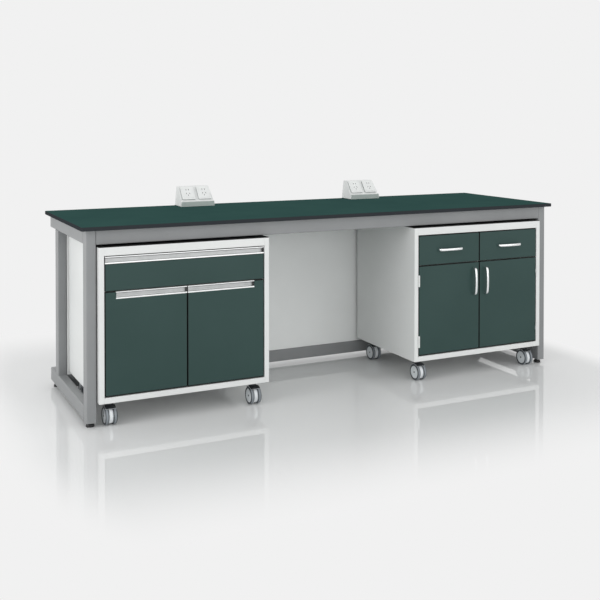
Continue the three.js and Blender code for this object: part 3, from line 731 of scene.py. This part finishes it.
def socket(node, place):
    """A socket: a dark grey frame whose sides are painted shadow along the plate's edges, a plate on it and
    a raised insert, with slots for the pins painted dark as shade in the holes.
    """
    plate = bmesh.new()
    rise = place @ Matrix.Translation((0, 0, SHADOW_FRAME_PROUD + GLUE_LINE))
    plate_depth = PLATE_PROUD - SHADOW_FRAME_PROUD - GLUE_LINE
    prism(plate, rectangle(PLATE_WIDTH, PLATE_HEIGHT, PLATE_CORNER), plate_depth, rise, PLATE_EDGE)
    insert = bmesh.new()
    face = rectangle(PLATE_WIDTH - 2 * INSERT_MARGIN, PLATE_HEIGHT - 2 * INSERT_MARGIN, PLATE_CORNER)
    seat = PLATE_PROUD + GLUE_LINE
    prism(insert, face, INSERT_PROUD - seat, place @ Matrix.Translation((0, 0, seat)), INSERT_EDGE)
    plate_cutter = bmesh.new()
    insert_cutter = bmesh.new()
    slot = rectangle(PIN_WIDTH, PIN_LENGTH)
    for x, y, tilt in PINS:
        turn = Matrix.Translation((x * MM, y * MM, 0)) @ Matrix.Rotation(math.radians(tilt), 4, "Z")
        for cutter, bottom in ((plate_cutter, PIN_FLOOR), (insert_cutter, 0.0)):
            # The cut walls take the near-black finish, painted shade inside the pin holes
            prism(cutter, slot, PIN_DEPTH, place @ turn @ Matrix.Translation((0, 0, bottom)), finish=1)
    plate = carve(plate, plate_cutter)
    insert = carve(insert, insert_cutter)
    # The frame under the plate, a little smaller: its dark grey sides are painted shadow along the plate's
    # edges
    under = rectangle(PLATE_WIDTH - 2 * SHADOW_FRAME_MARGIN, PLATE_HEIGHT - 2 * SHADOW_FRAME_MARGIN, PLATE_CORNER)
    prism(plate, under, SHADOW_FRAME_PROUD, place, finish=2)
    piece(f"{node}_plate", plate, [GLOSS_WHITE, PIN_HOLE_SHADE, PLATE_SHADOW_ABS], "bench", "socket_plastic", node)
    piece(f"{node}_insert", insert, [GLOSS_WHITE, PIN_HOLE_SHADE], "bench", "socket_plastic")


# Castors

def castor(name):
    """A castor: a web on the axle, a neck up to the swivel housing, and a hood over the wheels."""
    stem = PIVOT[name]
    axle = PIVOT[f"{name}_wheels"]
    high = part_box(f"{name}_fork")[1].z
    hub = axes(axle, Y, Z, X)
    pale, dark, steel = range(3)
    bm = bmesh.new()
    web = [(0, -WEB_HALF)] + stepped(WEB_RADIUS, WEB_STEPS, -WEB_HALF)
    web += stepped(WEB_RADIUS, WEB_STEPS[::-1], WEB_HALF, -1) + [(0, WEB_HALF)]
    turned(bm, web, hub, TURNED_STEPS, [pale] * (len(web) - 1))
    bottom = stem.z - HOUSING_HEIGHT
    half = NECK_DEPTH / 2
    neck_low = (stem.x - WEB_HALF, stem.y - half, axle.z)
    neck_high = (stem.x + WEB_HALF, stem.y + half, bottom + NECK_LAP)
    box(bm, neck_low, neck_high, NECK_EDGE, dark)
    shell = [(0, 0)] + stepped(HOUSING_RADIUS, HOUSING_STEPS)
    shell += [(STEM_RADIUS, shell[-1][1])]
    pin = [(STEM_RADIUS, high - bottom), (0, high - bottom)]
    finishes = [dark] * (len(shell) - 1) + [steel] * len(pin)
    turned(bm, shell + pin, Matrix.Translation((stem.x, stem.y, bottom)), TURNED_STEPS, finishes)
    inner = WHEEL_RADIUS + HOOD_GAP
    outer = inner + HOOD_SHEET
    turns = [HOOD_ARC * (k / CORNER_STEPS - 0.5) for k in range(CORNER_STEPS + 1)]
    hood = [(inner * math.sin(t), inner * math.cos(t)) for t in turns]
    hood += [(outer * math.sin(t), outer * math.cos(t)) for t in reversed(turns)]
    width = 2 * WHEEL_OUTER - 2 * HOOD_SHEET
    prism(bm, hood, width, hub @ Matrix.Translation((0, 0, -width / 2)), HOOD_EDGE, dark)
    piece(f"{name}_head", bm, [PALE_NYLON, DARK_NYLON, ZINC], name, "castor_plastic", f"{name}_fork")
    wheels(name, hub)


def groove(start, face):
    """A ring cut into a wheel's disc, as points of its profile."""
    floor = start + GROOVE_SLOPE
    far = floor + GROOVE_FLOOR
    return [
        (start, face),
        (floor, face - GROOVE_DEPTH),
        (far, face - GROOVE_DEPTH),
        (far + GROOVE_SLOPE, face),
    ]


def wheels(name, hub):
    """Twin wheels on one axle: grooved discs, dark rims and a paler tread."""
    face = WHEEL_OUTER - DISC_SET_BACK
    end = face + AXLE_END
    axle = [(0, end), (AXLE_RADIUS - AXLE_END_EDGE, end), (AXLE_RADIUS, end - AXLE_END_EDGE)]
    disc = [(DISC_BORE, face)]
    for start in DISC_GROOVES:
        disc += groove(start, face)
    rim_groove = DISC_RIM + GROOVE_SLOPE
    disc += [(DISC_RIM, face + DISC_RIM_RISE)]
    floor = [(rim_groove, face - GROOVE_DEPTH), (rim_groove + RIM_GROOVE_FLOOR, face - GROOVE_DEPTH)]
    outside = stepped(WHEEL_RADIUS, TREAD_OUTSIDE, WHEEL_OUTER, -1)
    inside = stepped(WHEEL_RADIUS, TREAD_INSIDE, WHEEL_INNER)
    profile = axle + disc + floor + outside + inside + [(AXLE_RADIUS, WHEEL_INNER)]
    rim, pale, dark, tyre = range(4)
    # One finish for each band between two points of the profile
    finishes = [dark] * len(axle) + [pale] * len(disc) + [rim] * len(outside)
    finishes += [tyre] * 3 + [rim] * 3 + [pale]
    whole = profile + [(radius, -along) for radius, along in reversed(profile)]
    bm = bmesh.new()
    turned(bm, whole, hub, TURNED_STEPS, finishes + [pale] + finishes[::-1])
    materials = [RIM, DISC_NYLON, DARK_NYLON, TREAD]
    piece(f"{name}_twin_wheels", bm, materials, f"{name}_wheels", "wheel_plastic", f"{name}_wheels")


# Cabinets

class Cabinet:
    """The planes of a cabinet that its pieces share."""

    def __init__(self, prefix, front_node, door_node):
        self.prefix = prefix
        self.low, self.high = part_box(f"{prefix}_top")
        self.low.z = PIVOT[f"{prefix}_front_left_castor"].z
        self.high.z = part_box(f"{prefix}_top")[0].z
        self.inner = (self.low.x + SIDE_WALL, self.high.x - SIDE_WALL)
        self.back = self.high.y - BACK_WALL
        self.deck_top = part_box(front_node)[0].z + FRONT / 2
        self.deck_front = self.low.y + FRONT + FRONT_STOP
        self.door_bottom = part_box(door_node)[0].z
        self.door_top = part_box(door_node)[1].z
        self.middle = (self.low.x + self.high.x) / 2


def carcass(cabinet, divided):
    """The glued boards of a cabinet, with a deck under the drawers and perhaps a divider on it."""
    low = cabinet.low
    high = cabinet.high
    left = cabinet.inner[0] + GLUE_LINE
    right = cabinet.inner[1] - GLUE_LINE
    back = cabinet.back - GLUE_LINE
    deck = cabinet.deck_top
    rail = high.z - TOP_RAIL_HEIGHT
    bm = bmesh.new()
    box(bm, low, (cabinet.inner[0], high.y, high.z))
    box(bm, (cabinet.inner[1], low.y, low.z), high)
    box(bm, (left, low.y, low.z), (right, high.y, low.z + BOTTOM_WALL))
    box(bm, (left, cabinet.back, low.z + BOTTOM_WALL + GLUE_LINE), (right, high.y, high.z))
    box(bm, (left, low.y, rail), (right, low.y + TOP_RAIL_DEPTH, high.z))
    box(bm, (left, cabinet.deck_front, deck - DECK), (right, back, deck))
    if divided:
        divider_low = (cabinet.middle - DIVIDER / 2, cabinet.deck_front, deck)
        divider_high = (cabinet.middle + DIVIDER / 2, back, rail - GLUE_LINE)
        box(bm, divider_low, divider_high)
    name = f"{cabinet.prefix}_carcass"
    piece(f"{name}_boards", bm, [WHITE_BOARD], cabinet.prefix, "white_board", name)


def shelf_pegs(cabinet):
    """Four steel pegs in the side walls, under the loose shelf."""
    shelf_low, shelf_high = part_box(f"{cabinet.prefix}_shelf")
    bm = bmesh.new()
    for wall, inward in zip(cabinet.inner, (X, -X)):
        for y in (shelf_low.y + PEG_INSET, cabinet.back - PEG_INSET):
            spot = (wall, y, shelf_low.z - PEG_RADIUS - RUNNER_GAP)
            rod(bm, PEG_RADIUS, PEG_REACH, axes(spot, Y, Z * inward.x, inward))
    piece(f"{cabinet.prefix}_shelf_pegs", bm, [ZINC], cabinet.prefix, "satin_chrome")


def channel(flange, web, lip):
    """The section of a folded runner: a web, a flange across and a turned-up lip."""
    sheet = RUNNER_SHEET
    return [
        (0, 0),
        (flange, 0),
        (flange, lip),
        (flange - sheet, lip),
        (flange - sheet, sheet),
        (sheet, sheet),
        (sheet, web),
        (0, web),
    ]


def runners(cabinet, drawer, bay):
    """The fixed half of a drawer's two runners, with a roller at each front end."""
    low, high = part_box(f"{drawer}_box")
    bottom = low.z + RUNNER_RISE - RUNNER_HEIGHT
    axle = RUNNER_HEIGHT - ROLLER_RADIUS - RUNNER_GAP
    section = channel(RUNNER_WIDTH, RUNNER_HEIGHT - RUNNER_GAP, RUNNER_LIP)
    bm = bmesh.new()
    for wall, inward in zip(bay, (X, -X)):
        start = Vector((wall, cabinet.deck_front, bottom))
        prism(bm, section, high.y - start.y, axes(start, inward, Z, Y), SHEET_EDGE)
        roller = start + inward * 2 * RUNNER_SHEET + Y * ROLLER_INSET + Z * axle
        width = RUNNER_WIDTH - 4 * RUNNER_SHEET
        rod(bm, ROLLER_RADIUS, width, axes(roller, Y, Z * inward.x, inward), finish=1)
    piece(f"{drawer}_runners", bm, [ZINC, PALE_NYLON], cabinet.prefix, "satin_chrome")


def drawer_box(drawer):
    """A drawer's tray of boards with a let-in floor, and its half of the runners."""
    node = f"{drawer}_box"
    low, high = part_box(node)
    left = low.x + RUNNER_WIDTH
    right = high.x - RUNNER_WIDTH
    inner_left = left + DRAWER_WALL
    inner_right = right - DRAWER_WALL
    bm = bmesh.new()
    box(bm, (left, low.y, low.z), (inner_left, high.y, high.z))
    box(bm, (inner_right, low.y, low.z), (right, high.y, high.z))
    for y in (low.y, high.y - DRAWER_WALL):
        box(bm, (inner_left + GLUE_LINE, y, low.z), (inner_right - GLUE_LINE, y + DRAWER_WALL, high.z))
    floor_low = (inner_left + GLUE_LINE, low.y + DRAWER_WALL + GLUE_LINE, low.z)
    floor_high = (inner_right - GLUE_LINE, high.y - DRAWER_WALL - GLUE_LINE, low.z + DRAWER_FLOOR)
    box(bm, floor_low, floor_high)
    section = channel(RUNNER_WIDTH, RUNNER_HEIGHT, 2 * RUNNER_SHEET)
    rail_bottom = low.z + RUNNER_RISE + RUNNER_GAP
    for side, outward in ((left, -X), (right, X)):
        prism(bm, section, high.y - low.y, axes((side, low.y, rail_bottom), outward, Z, Y), SHEET_EDGE, 1)
    piece(f"{drawer}_tray", bm, [WHITE_BOARD, ZINC], drawer, "white_board", node)


def pull(node, body):
    """An aluminium channel that is open to the front, with bright lips, a duller channel whose tone is
    partly its anodised finish and partly painted shade of the hollow, and a black cap in each end.
    """
    low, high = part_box(node)
    back = high.y - PULL_WALL
    floor = low.z + PULL_WALL
    ceiling = high.z - PULL_TOP
    section = [
        (high.y, low.z),
        (low.y, low.z),
        (low.y, low.z + PULL_LIP),
        (low.y + PULL_WALL, low.z + PULL_LIP),
        (low.y + PULL_WALL, floor),
        (back, floor),
        (back, ceiling),
        (low.y, ceiling),
        (low.y, high.z),
        (high.y, high.z),
    ]
    hollow = (back, floor), (back, ceiling)
    radii = [PULL_HOLLOW if corner in hollow else PULL_EDGE for corner in section]
    # All but the lips' front faces take the duller finish, partly painted shade of the hollow
    channel_shade_finish, cap_finish, lip_finish = range(3)
    bm = bmesh.new()
    prism(bm, fillet(section, radii), high.x - low.x, axes((low.x, 0, 0), Y, Z, X), SHEET_EDGE)
    for skin in bm.faces:
        skin.normal_update()
        lip = skin.calc_center_median().y < low.y + PULL_WALL / 2
        facing = abs(skin.normal.y) > FACING
        skin.material_index = lip_finish if lip and facing else channel_shade_finish
    front = low.y + PULL_WALL + GLUE_LINE
    rear = back - GLUE_LINE
    bottom = floor + GLUE_LINE
    top = ceiling - GLUE_LINE
    corners = [(front, bottom), (rear, bottom), (rear, top), (front, top)]
    cap = fillet(corners, [PULL_EDGE, PULL_HOLLOW, PULL_HOLLOW, PULL_EDGE])
    for x in (low.x, high.x - PULL_CAP):
        prism(bm, cap, PULL_CAP, axes((x, 0, 0), Y, Z, X), SHEET_EDGE, cap_finish)
    piece(f"{node}_profile", bm, [ALUMINIUM, BLACK_NYLON, BRIGHT_ALUMINIUM], body, "aluminium", node)


def bow_handle(node, body):
    """A bow handle: a flattened bar that bends out from its two fixings."""
    low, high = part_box(node)
    middle = (low + high) / 2
    upright = high.z - low.z > high.x - low.x
    along = Z if upright else X
    across = X if upright else Z
    half = BOW_SPACING / 2
    reach = BOW_REACH - BOW_THICKNESS / 2
    knots = [
        (-half, 0),
        (-half, reach / 2),
        (-half + BOW_SHOULDER, BOW_CROWN * reach),
        (0, reach),
        (half - BOW_SHOULDER, BOW_CROWN * reach),
        (half, reach / 2),
        (half, 0),
    ]
    foot = Vector((middle.x, high.y, middle.z))
    bm = bmesh.new()
    rings = []
    for spot, run in smooth_path([Vector(k) for k in knots], BOW_STEPS):
        side = Vector((-run.y, run.x))
        ring = []
        for k in range(SMALL_STEPS):
            turn = 2 * math.pi * k / SMALL_STEPS
            flat = spot + side * (BOW_THICKNESS / 2 * math.cos(turn))
            wide = across * (BOW_WIDTH / 2 * math.sin(turn))
            ring.append(bm.verts.new(foot + along * flat.x - Y * flat.y + wide))
        rings.append(ring)
    for corners in bands(rings):
        bm.faces.new(corners)
    bm.faces.new(rings[0])
    bm.faces.new(rings[-1])
    piece(f"{node}_bow", bm, [CHROME], body, "satin_chrome", node)


def smooth_path(knots, steps):
    """Points and directions on a smooth curve through the knots."""
    ends = [2 * knots[0] - knots[1], *knots, 2 * knots[-1] - knots[-2]]
    spots = []
    for a, b, c, d in zip(ends, ends[1:], ends[2:], ends[3:]):
        for k in range(steps):
            t = k / steps
            curve = 2 * b + (c - a) * t + (2 * a - 5 * b + 4 * c - d) * t * t
            spots.append((curve + (3 * b - a - 3 * c + d) * t ** 3) / 2)
    spots.append(knots[-1])
    for i, spot in enumerate(spots):
        run = spots[min(i + 1, len(spots) - 1)] - spots[max(i - 1, 0)]
        yield spot, run.normalized()


def hinge_arms(cabinet):
    """Concealed hinges: the arms ride with the side walls and the cups with the doors."""
    prefix = cabinet.prefix
    start = cabinet.low.y + FRONT + RUNNER_GAP
    bottoms = (cabinet.door_bottom + ARM_RISE, cabinet.door_top - ARM_RISE - ARM_HEIGHT)
    levels = [bottom + ARM_HEIGHT / 2 for bottom in bottoms]
    plate = rectangle(ARM_PLATE_LENGTH, ARM_HEIGHT, ARM_PLATE_CORNER)
    bar = rectangle(ARM_LENGTH, ARM_BAR_HEIGHT, ARM_BAR_CORNER)
    arms = bmesh.new()
    for wall, inward in zip(cabinet.inner, (X, -X)):
        for z in levels:
            spot = Vector((wall, start + ARM_PLATE_PLACE, z))
            place = axes(spot, Y, Z * inward.x, inward)
            prism(arms, plate, ARM_PLATE_THICKNESS, place, ARM_PLATE_EDGE)
            spot = Vector((wall, start + ARM_LENGTH / 2, z)) + inward * ARM_BAR_RISE
            place = axes(spot, Y, Z * inward.x, inward)
            prism(arms, bar, ARM_WIDTH - ARM_BAR_RISE, place, ARM_BAR_EDGE)
            for along in ARM_SCREWS:
                spot = Vector((wall, start + along, z)) + inward * ARM_WIDTH
                screw(arms, axes(spot, Y, Z * inward.x, inward))
    piece(f"{prefix}_hinge_arms", arms, [ZINC], prefix, "satin_chrome")
    for hand, wall, inward in zip(SIDES, cabinet.inner, (X, -X)):
        door = f"{prefix}_{hand}_door"
        cups = bmesh.new()
        for z in levels:
            spot = Vector((wall, cabinet.low.y + FRONT, z)) + inward * CUP_INSET
            rod(cups, CUP_RADIUS, CUP_PROUD, axes(spot, X, -Z, Y), TURNED_STEPS, edge=CUP_PROUD / 2)
        piece(f"{door}_hinge_cups", cups, [ZINC], door, "satin_chrome")


def hollow_knuckle(bm, axis, bottom, top):
    """A bored barrel that turns round the hinge's pin."""
    bore = HINGE_PIN_RADIUS + KNUCKLE_GAP
    profile = [
        (bore, bottom),
        (KNUCKLE_RADIUS - KNUCKLE_EDGE, bottom),
        (KNUCKLE_RADIUS, bottom + KNUCKLE_EDGE),
        (KNUCKLE_RADIUS, top - KNUCKLE_EDGE),
        (KNUCKLE_RADIUS - KNUCKLE_EDGE, top),
        (bore, top),
        (bore, bottom),
    ]
    turned(bm, profile, Matrix.Translation((axis.x, axis.y, 0)), SMALL_STEPS)
    bmesh.ops.remove_doubles(bm, verts=bm.verts, dist=TINY)


def hinges(cabinet, door, outward):
    """Butt hinges: the fixed leaf rides with the carcass and the turning leaf with the door."""
    axis = PIVOT[door]
    wall = cabinet.inner[1] if outward > 0 else cabinet.inner[0]
    rear = cabinet.low.y + LEAF_DEPTH
    thickness = FRONT_GAP / 2 - 2 * RUNNER_GAP
    for level in ("lower", "upper"):
        node = f"{door}_{level}_hinge"
        low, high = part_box(node)
        third = (high.z - low.z) / 3
        bottom = low.z + third + KNUCKLE_GAP
        top = high.z - third - KNUCKLE_GAP
        door_face = low.x if outward > 0 else high.x
        leaf = sorted((door_face, door_face + outward * thickness))
        turning = bmesh.new()
        box(turning, (leaf[0], axis.y, bottom), (leaf[1], rear, top), SHEET_EDGE)
        barrel = Matrix.Translation((axis.x, axis.y, bottom))
        rod(turning, KNUCKLE_RADIUS, top - bottom, barrel, edge=KNUCKLE_EDGE)
        rod(turning, HINGE_PIN_RADIUS, high.z - low.z, Matrix.Translation((axis.x, axis.y, low.z)))
        piece(f"{node}_leaf", turning, [WHITE_PAINT], door, "hinge_paint", node)
        leaf = sorted((wall, wall - outward * thickness))
        fixed = bmesh.new()
        for bottom, top in ((low.z, low.z + third), (high.z - third, high.z)):
            box(fixed, (leaf[0], axis.y, bottom), (leaf[1], rear, top), SHEET_EDGE)
            hollow_knuckle(fixed, axis, bottom, top)
        piece(f"{node}_fixed_leaf", fixed, [WHITE_PAINT], cabinet.prefix, "hinge_paint")


def left_cabinet():
    """One wide drawer over two doors, all with channel pulls."""
    cabinet = Cabinet("left_cabinet", "left_cabinet_drawer_front", "left_cabinet_left_door")
    carcass(cabinet, divided=False)
    shelf_pegs(cabinet)
    hinge_arms(cabinet)
    drawer = "left_cabinet_drawer"
    runners(cabinet, drawer, cabinet.inner)
    drawer_box(drawer)
    dress_front(f"{drawer}_front")
    pull(f"{drawer}_pull", drawer)
    for hand in SIDES:
        door = f"left_cabinet_{hand}_door"
        dress_front(door, DOOR_FOOT_SHADOW_BAND)
        pull(f"{door}_pull", door)


def right_cabinet():
    """Two drawers side by side over two doors, all with bow handles."""
    cabinet = Cabinet("right_cabinet", "right_cabinet_left_drawer_front", "right_cabinet_left_door")
    carcass(cabinet, divided=True)
    shelf_pegs(cabinet)
    half = DIVIDER / 2
    bays = {
        "left": (cabinet.inner[0], cabinet.middle - half),
        "right": (cabinet.middle + half, cabinet.inner[1]),
    }
    for hand, outward in SIDES.items():
        drawer = f"right_cabinet_{hand}_drawer"
        door = f"right_cabinet_{hand}_door"
        runners(cabinet, drawer, bays[hand])
        drawer_box(drawer)
        dress_front(f"{drawer}_front")
        bow_handle(f"{drawer}_handle", drawer)
        dress_front(door, DOOR_FOOT_SHADOW_BAND)
        bow_handle(f"{door}_handle", door)
        hinges(cabinet, door, outward)


dress("worktop", LAMINATE)
dress("back_panel", PANEL_BOARD)
for end in SIDES:
    end_frame(end)
    pod(end)
    for row in ("front", "rear"):
        foot(f"{row}_{end}_foot")
    dress(f"{end}_cabinet_top", BLACK_BOARD)
    dress(f"{end}_cabinet_shelf", WHITE_BOARD)
    for row in ("front", "rear"):
        for hand in SIDES:
            castor(f"{end}_cabinet_{row}_{hand}_castor")
for rail_node in ("front_rail", "rear_top_rail", "rear_bottom_rail"):
    cross_rail(rail_node)
left_cabinet()
right_cabinet()


# Stage, light and camera

PALE = "#f1f1f1"
FLOOR_SIZE = 40.0
FADE_START = 0.4
FADE_END = 1.1
FADE_HASTE = 3.2


def seen_or_mirrored(tree):
    """1 for rays from the camera, a mirror or a lens, and 0 for light that bounces."""
    rays = add(tree, "ShaderNodeLightPath").outputs
    direct = {0: rays["Is Camera Ray"], 1: rays["Is Glossy Ray"]}
    seen = add(tree, "ShaderNodeMath", direct, operation="MAXIMUM").outputs[0]
    both = {0: seen, 1: rays["Is Transmission Ray"]}
    return add(tree, "ShaderNodeMath", both, operation="MAXIMUM").outputs[0]


def studio_floor():
    # Polished pale floor: it keeps the shadow and a soft mirror image near the object,
    # and runs out into the even backdrop further away.
    material, tree, shader, place = begin("pale_studio_floor", {
        "Base Color": linear("#e6e7e7"),
        "Roughness": 0.015,
        "IOR": 1.5,
    })
    spot = add(tree, "ShaderNodeSeparateXYZ", {"Vector": place}).outputs
    beyond = []
    for axis, half, haste in (("X", cad_high.x, FADE_HASTE), ("Y", cad_high.y, 1.0)):
        size = add(tree, "ShaderNodeMath", {0: spot[axis]}, operation="ABSOLUTE").outputs[0]
        past = add(tree, "ShaderNodeMath", {0: size, 1: half}, operation="SUBTRACT").outputs[0]
        clear = add(tree, "ShaderNodeMath", {0: past, 1: 0.0}, operation="MAXIMUM").outputs[0]
        beyond.append(add(tree, "ShaderNodeMath", {0: clear, 1: haste}, operation="MULTIPLY").outputs[0])
    offset = add(tree, "ShaderNodeCombineXYZ", {"X": beyond[0], "Y": beyond[1]}).outputs[0]
    distance = add(tree, "ShaderNodeVectorMath", {0: offset}, operation="LENGTH").outputs["Value"]
    fade = add(tree, "ShaderNodeMapRange", {
        "Value": distance,
        "From Min": FADE_START,
        "From Max": FADE_END,
    }, interpolation_type="SMOOTHSTEP").outputs["Result"]
    visible = {0: fade, 1: seen_or_mirrored(tree)}
    share = add(tree, "ShaderNodeMath", visible, operation="MULTIPLY").outputs[0]
    glow = add(tree, "ShaderNodeEmission", {"Color": linear(PALE), "Strength": 1.0}).outputs[0]
    mixed = add(tree, "ShaderNodeMixShader", {0: share, 1: shader.outputs[0], 2: glow})
    tree.links.new(mixed.outputs[0], tree.nodes["Material Output"].inputs["Surface"])
    return material


def stage():
    """A wide flat floor under the object."""
    bm = bmesh.new()
    half = FLOOR_SIZE / 2
    corners = ((-half, -half), (half, -half), (half, half), (-half, half))
    bm.faces.new([bm.verts.new((x, y, 0)) for x, y in corners])
    mesh = bpy.data.meshes.new("studio_floor")
    bm.to_mesh(mesh)
    bm.free()
    mesh.materials.append(studio_floor())
    floor = bpy.data.objects.new("studio_floor", mesh)
    bpy.context.scene.collection.objects.link(floor)
    return floor


WORLD_LIGHT = 0.8


def backdrop():
    """Even light from all round, behind a pale background."""
    world = bpy.data.worlds.new("studio")
    bpy.context.scene.world = world
    world.use_nodes = True
    tree = world.node_tree
    lit = tree.nodes["Background"]
    lit.inputs["Color"].default_value = linear("#ffffff")
    lit.inputs["Strength"].default_value = WORLD_LIGHT
    pale = add(tree, "ShaderNodeBackground", {"Color": linear(PALE), "Strength": 1.0})
    both = {0: seen_or_mirrored(tree), 1: lit.outputs[0], 2: pale.outputs[0]}
    mixed = add(tree, "ShaderNodeMixShader", both)
    tree.links.new(mixed.outputs[0], tree.nodes["World Output"].inputs["Surface"])


LAMPS = {
    "softbox_left": {"at": (-4.2, -1.0, 1.5), "aim": (-0.8, 0, 0.4), "size": (2.6, 2.2), "power": 48},
    "softbox_front": {"at": (0.0, -5.0, 1.1), "aim": (0, 0, 0.45), "size": (5.2, 1.6), "power": 43},
    "softbox_right": {"at": (2.6, -3.4, 1.2), "aim": (0.9, 0, 0.45), "size": (1.4, 1.6), "power": 11},
    "softbox_high": {"at": (-0.5, -3.5, 3.2), "aim": (0, 0, 0.4), "size": (3.0, 2.0), "power": 8},
}


def lamps(floor):
    """Soft boxes aimed at the object. Each has a twin that lights the floor and isn't mirrored in it."""
    for name, lamp in LAMPS.items():
        light = bpy.data.lights.new(name, "AREA")
        light.shape = "RECTANGLE"
        light.size, light.size_y = lamp["size"]
        light.energy = lamp["power"]
        toward = Vector(lamp["aim"]) - Vector(lamp["at"])
        for suffix, state in (("", "EXCLUDE"), ("_on_floor", "INCLUDE")):
            holder = bpy.data.objects.new(name + suffix, light)
            holder.location = lamp["at"]
            holder.rotation_euler = toward.to_track_quat("-Z", "Y").to_euler()
            holder.visible_glossy = state == "EXCLUDE"
            lit = bpy.data.collections.new(holder.name)
            lit.objects.link(floor)
            lit.collection_objects[0].light_linking.link_state = state
            holder.light_linking.receiver_collection = lit
            bpy.context.scene.collection.objects.link(holder)


# The camera stood a little above and left of the bench and was held almost level
CAMERA_PLACE = (-2.058, -4.117, 1.267)
CAMERA_TURN = math.radians(-25.96)
CAMERA_TILT = math.radians(0.984)
CAMERA_LENS = 56.53
CAMERA_SENSOR = 36
CAMERA_DROP = -0.28


def camera():
    """The camera, with its lens shifted down instead of tilted."""
    lens = bpy.data.cameras.new("camera")
    lens.sensor_width = CAMERA_SENSOR
    lens.lens = CAMERA_LENS
    lens.shift_y = CAMERA_DROP
    holder = bpy.data.objects.new("camera", lens)
    holder.location = CAMERA_PLACE
    holder.rotation_euler = (math.pi / 2 - CAMERA_TILT, 0, CAMERA_TURN)
    bpy.context.scene.collection.objects.link(holder)
    bpy.context.scene.camera = holder


backdrop()
lamps(stage())
camera()
bpy.context.scene.view_settings.view_transform = "Standard"

bpy.context.view_layer.update()
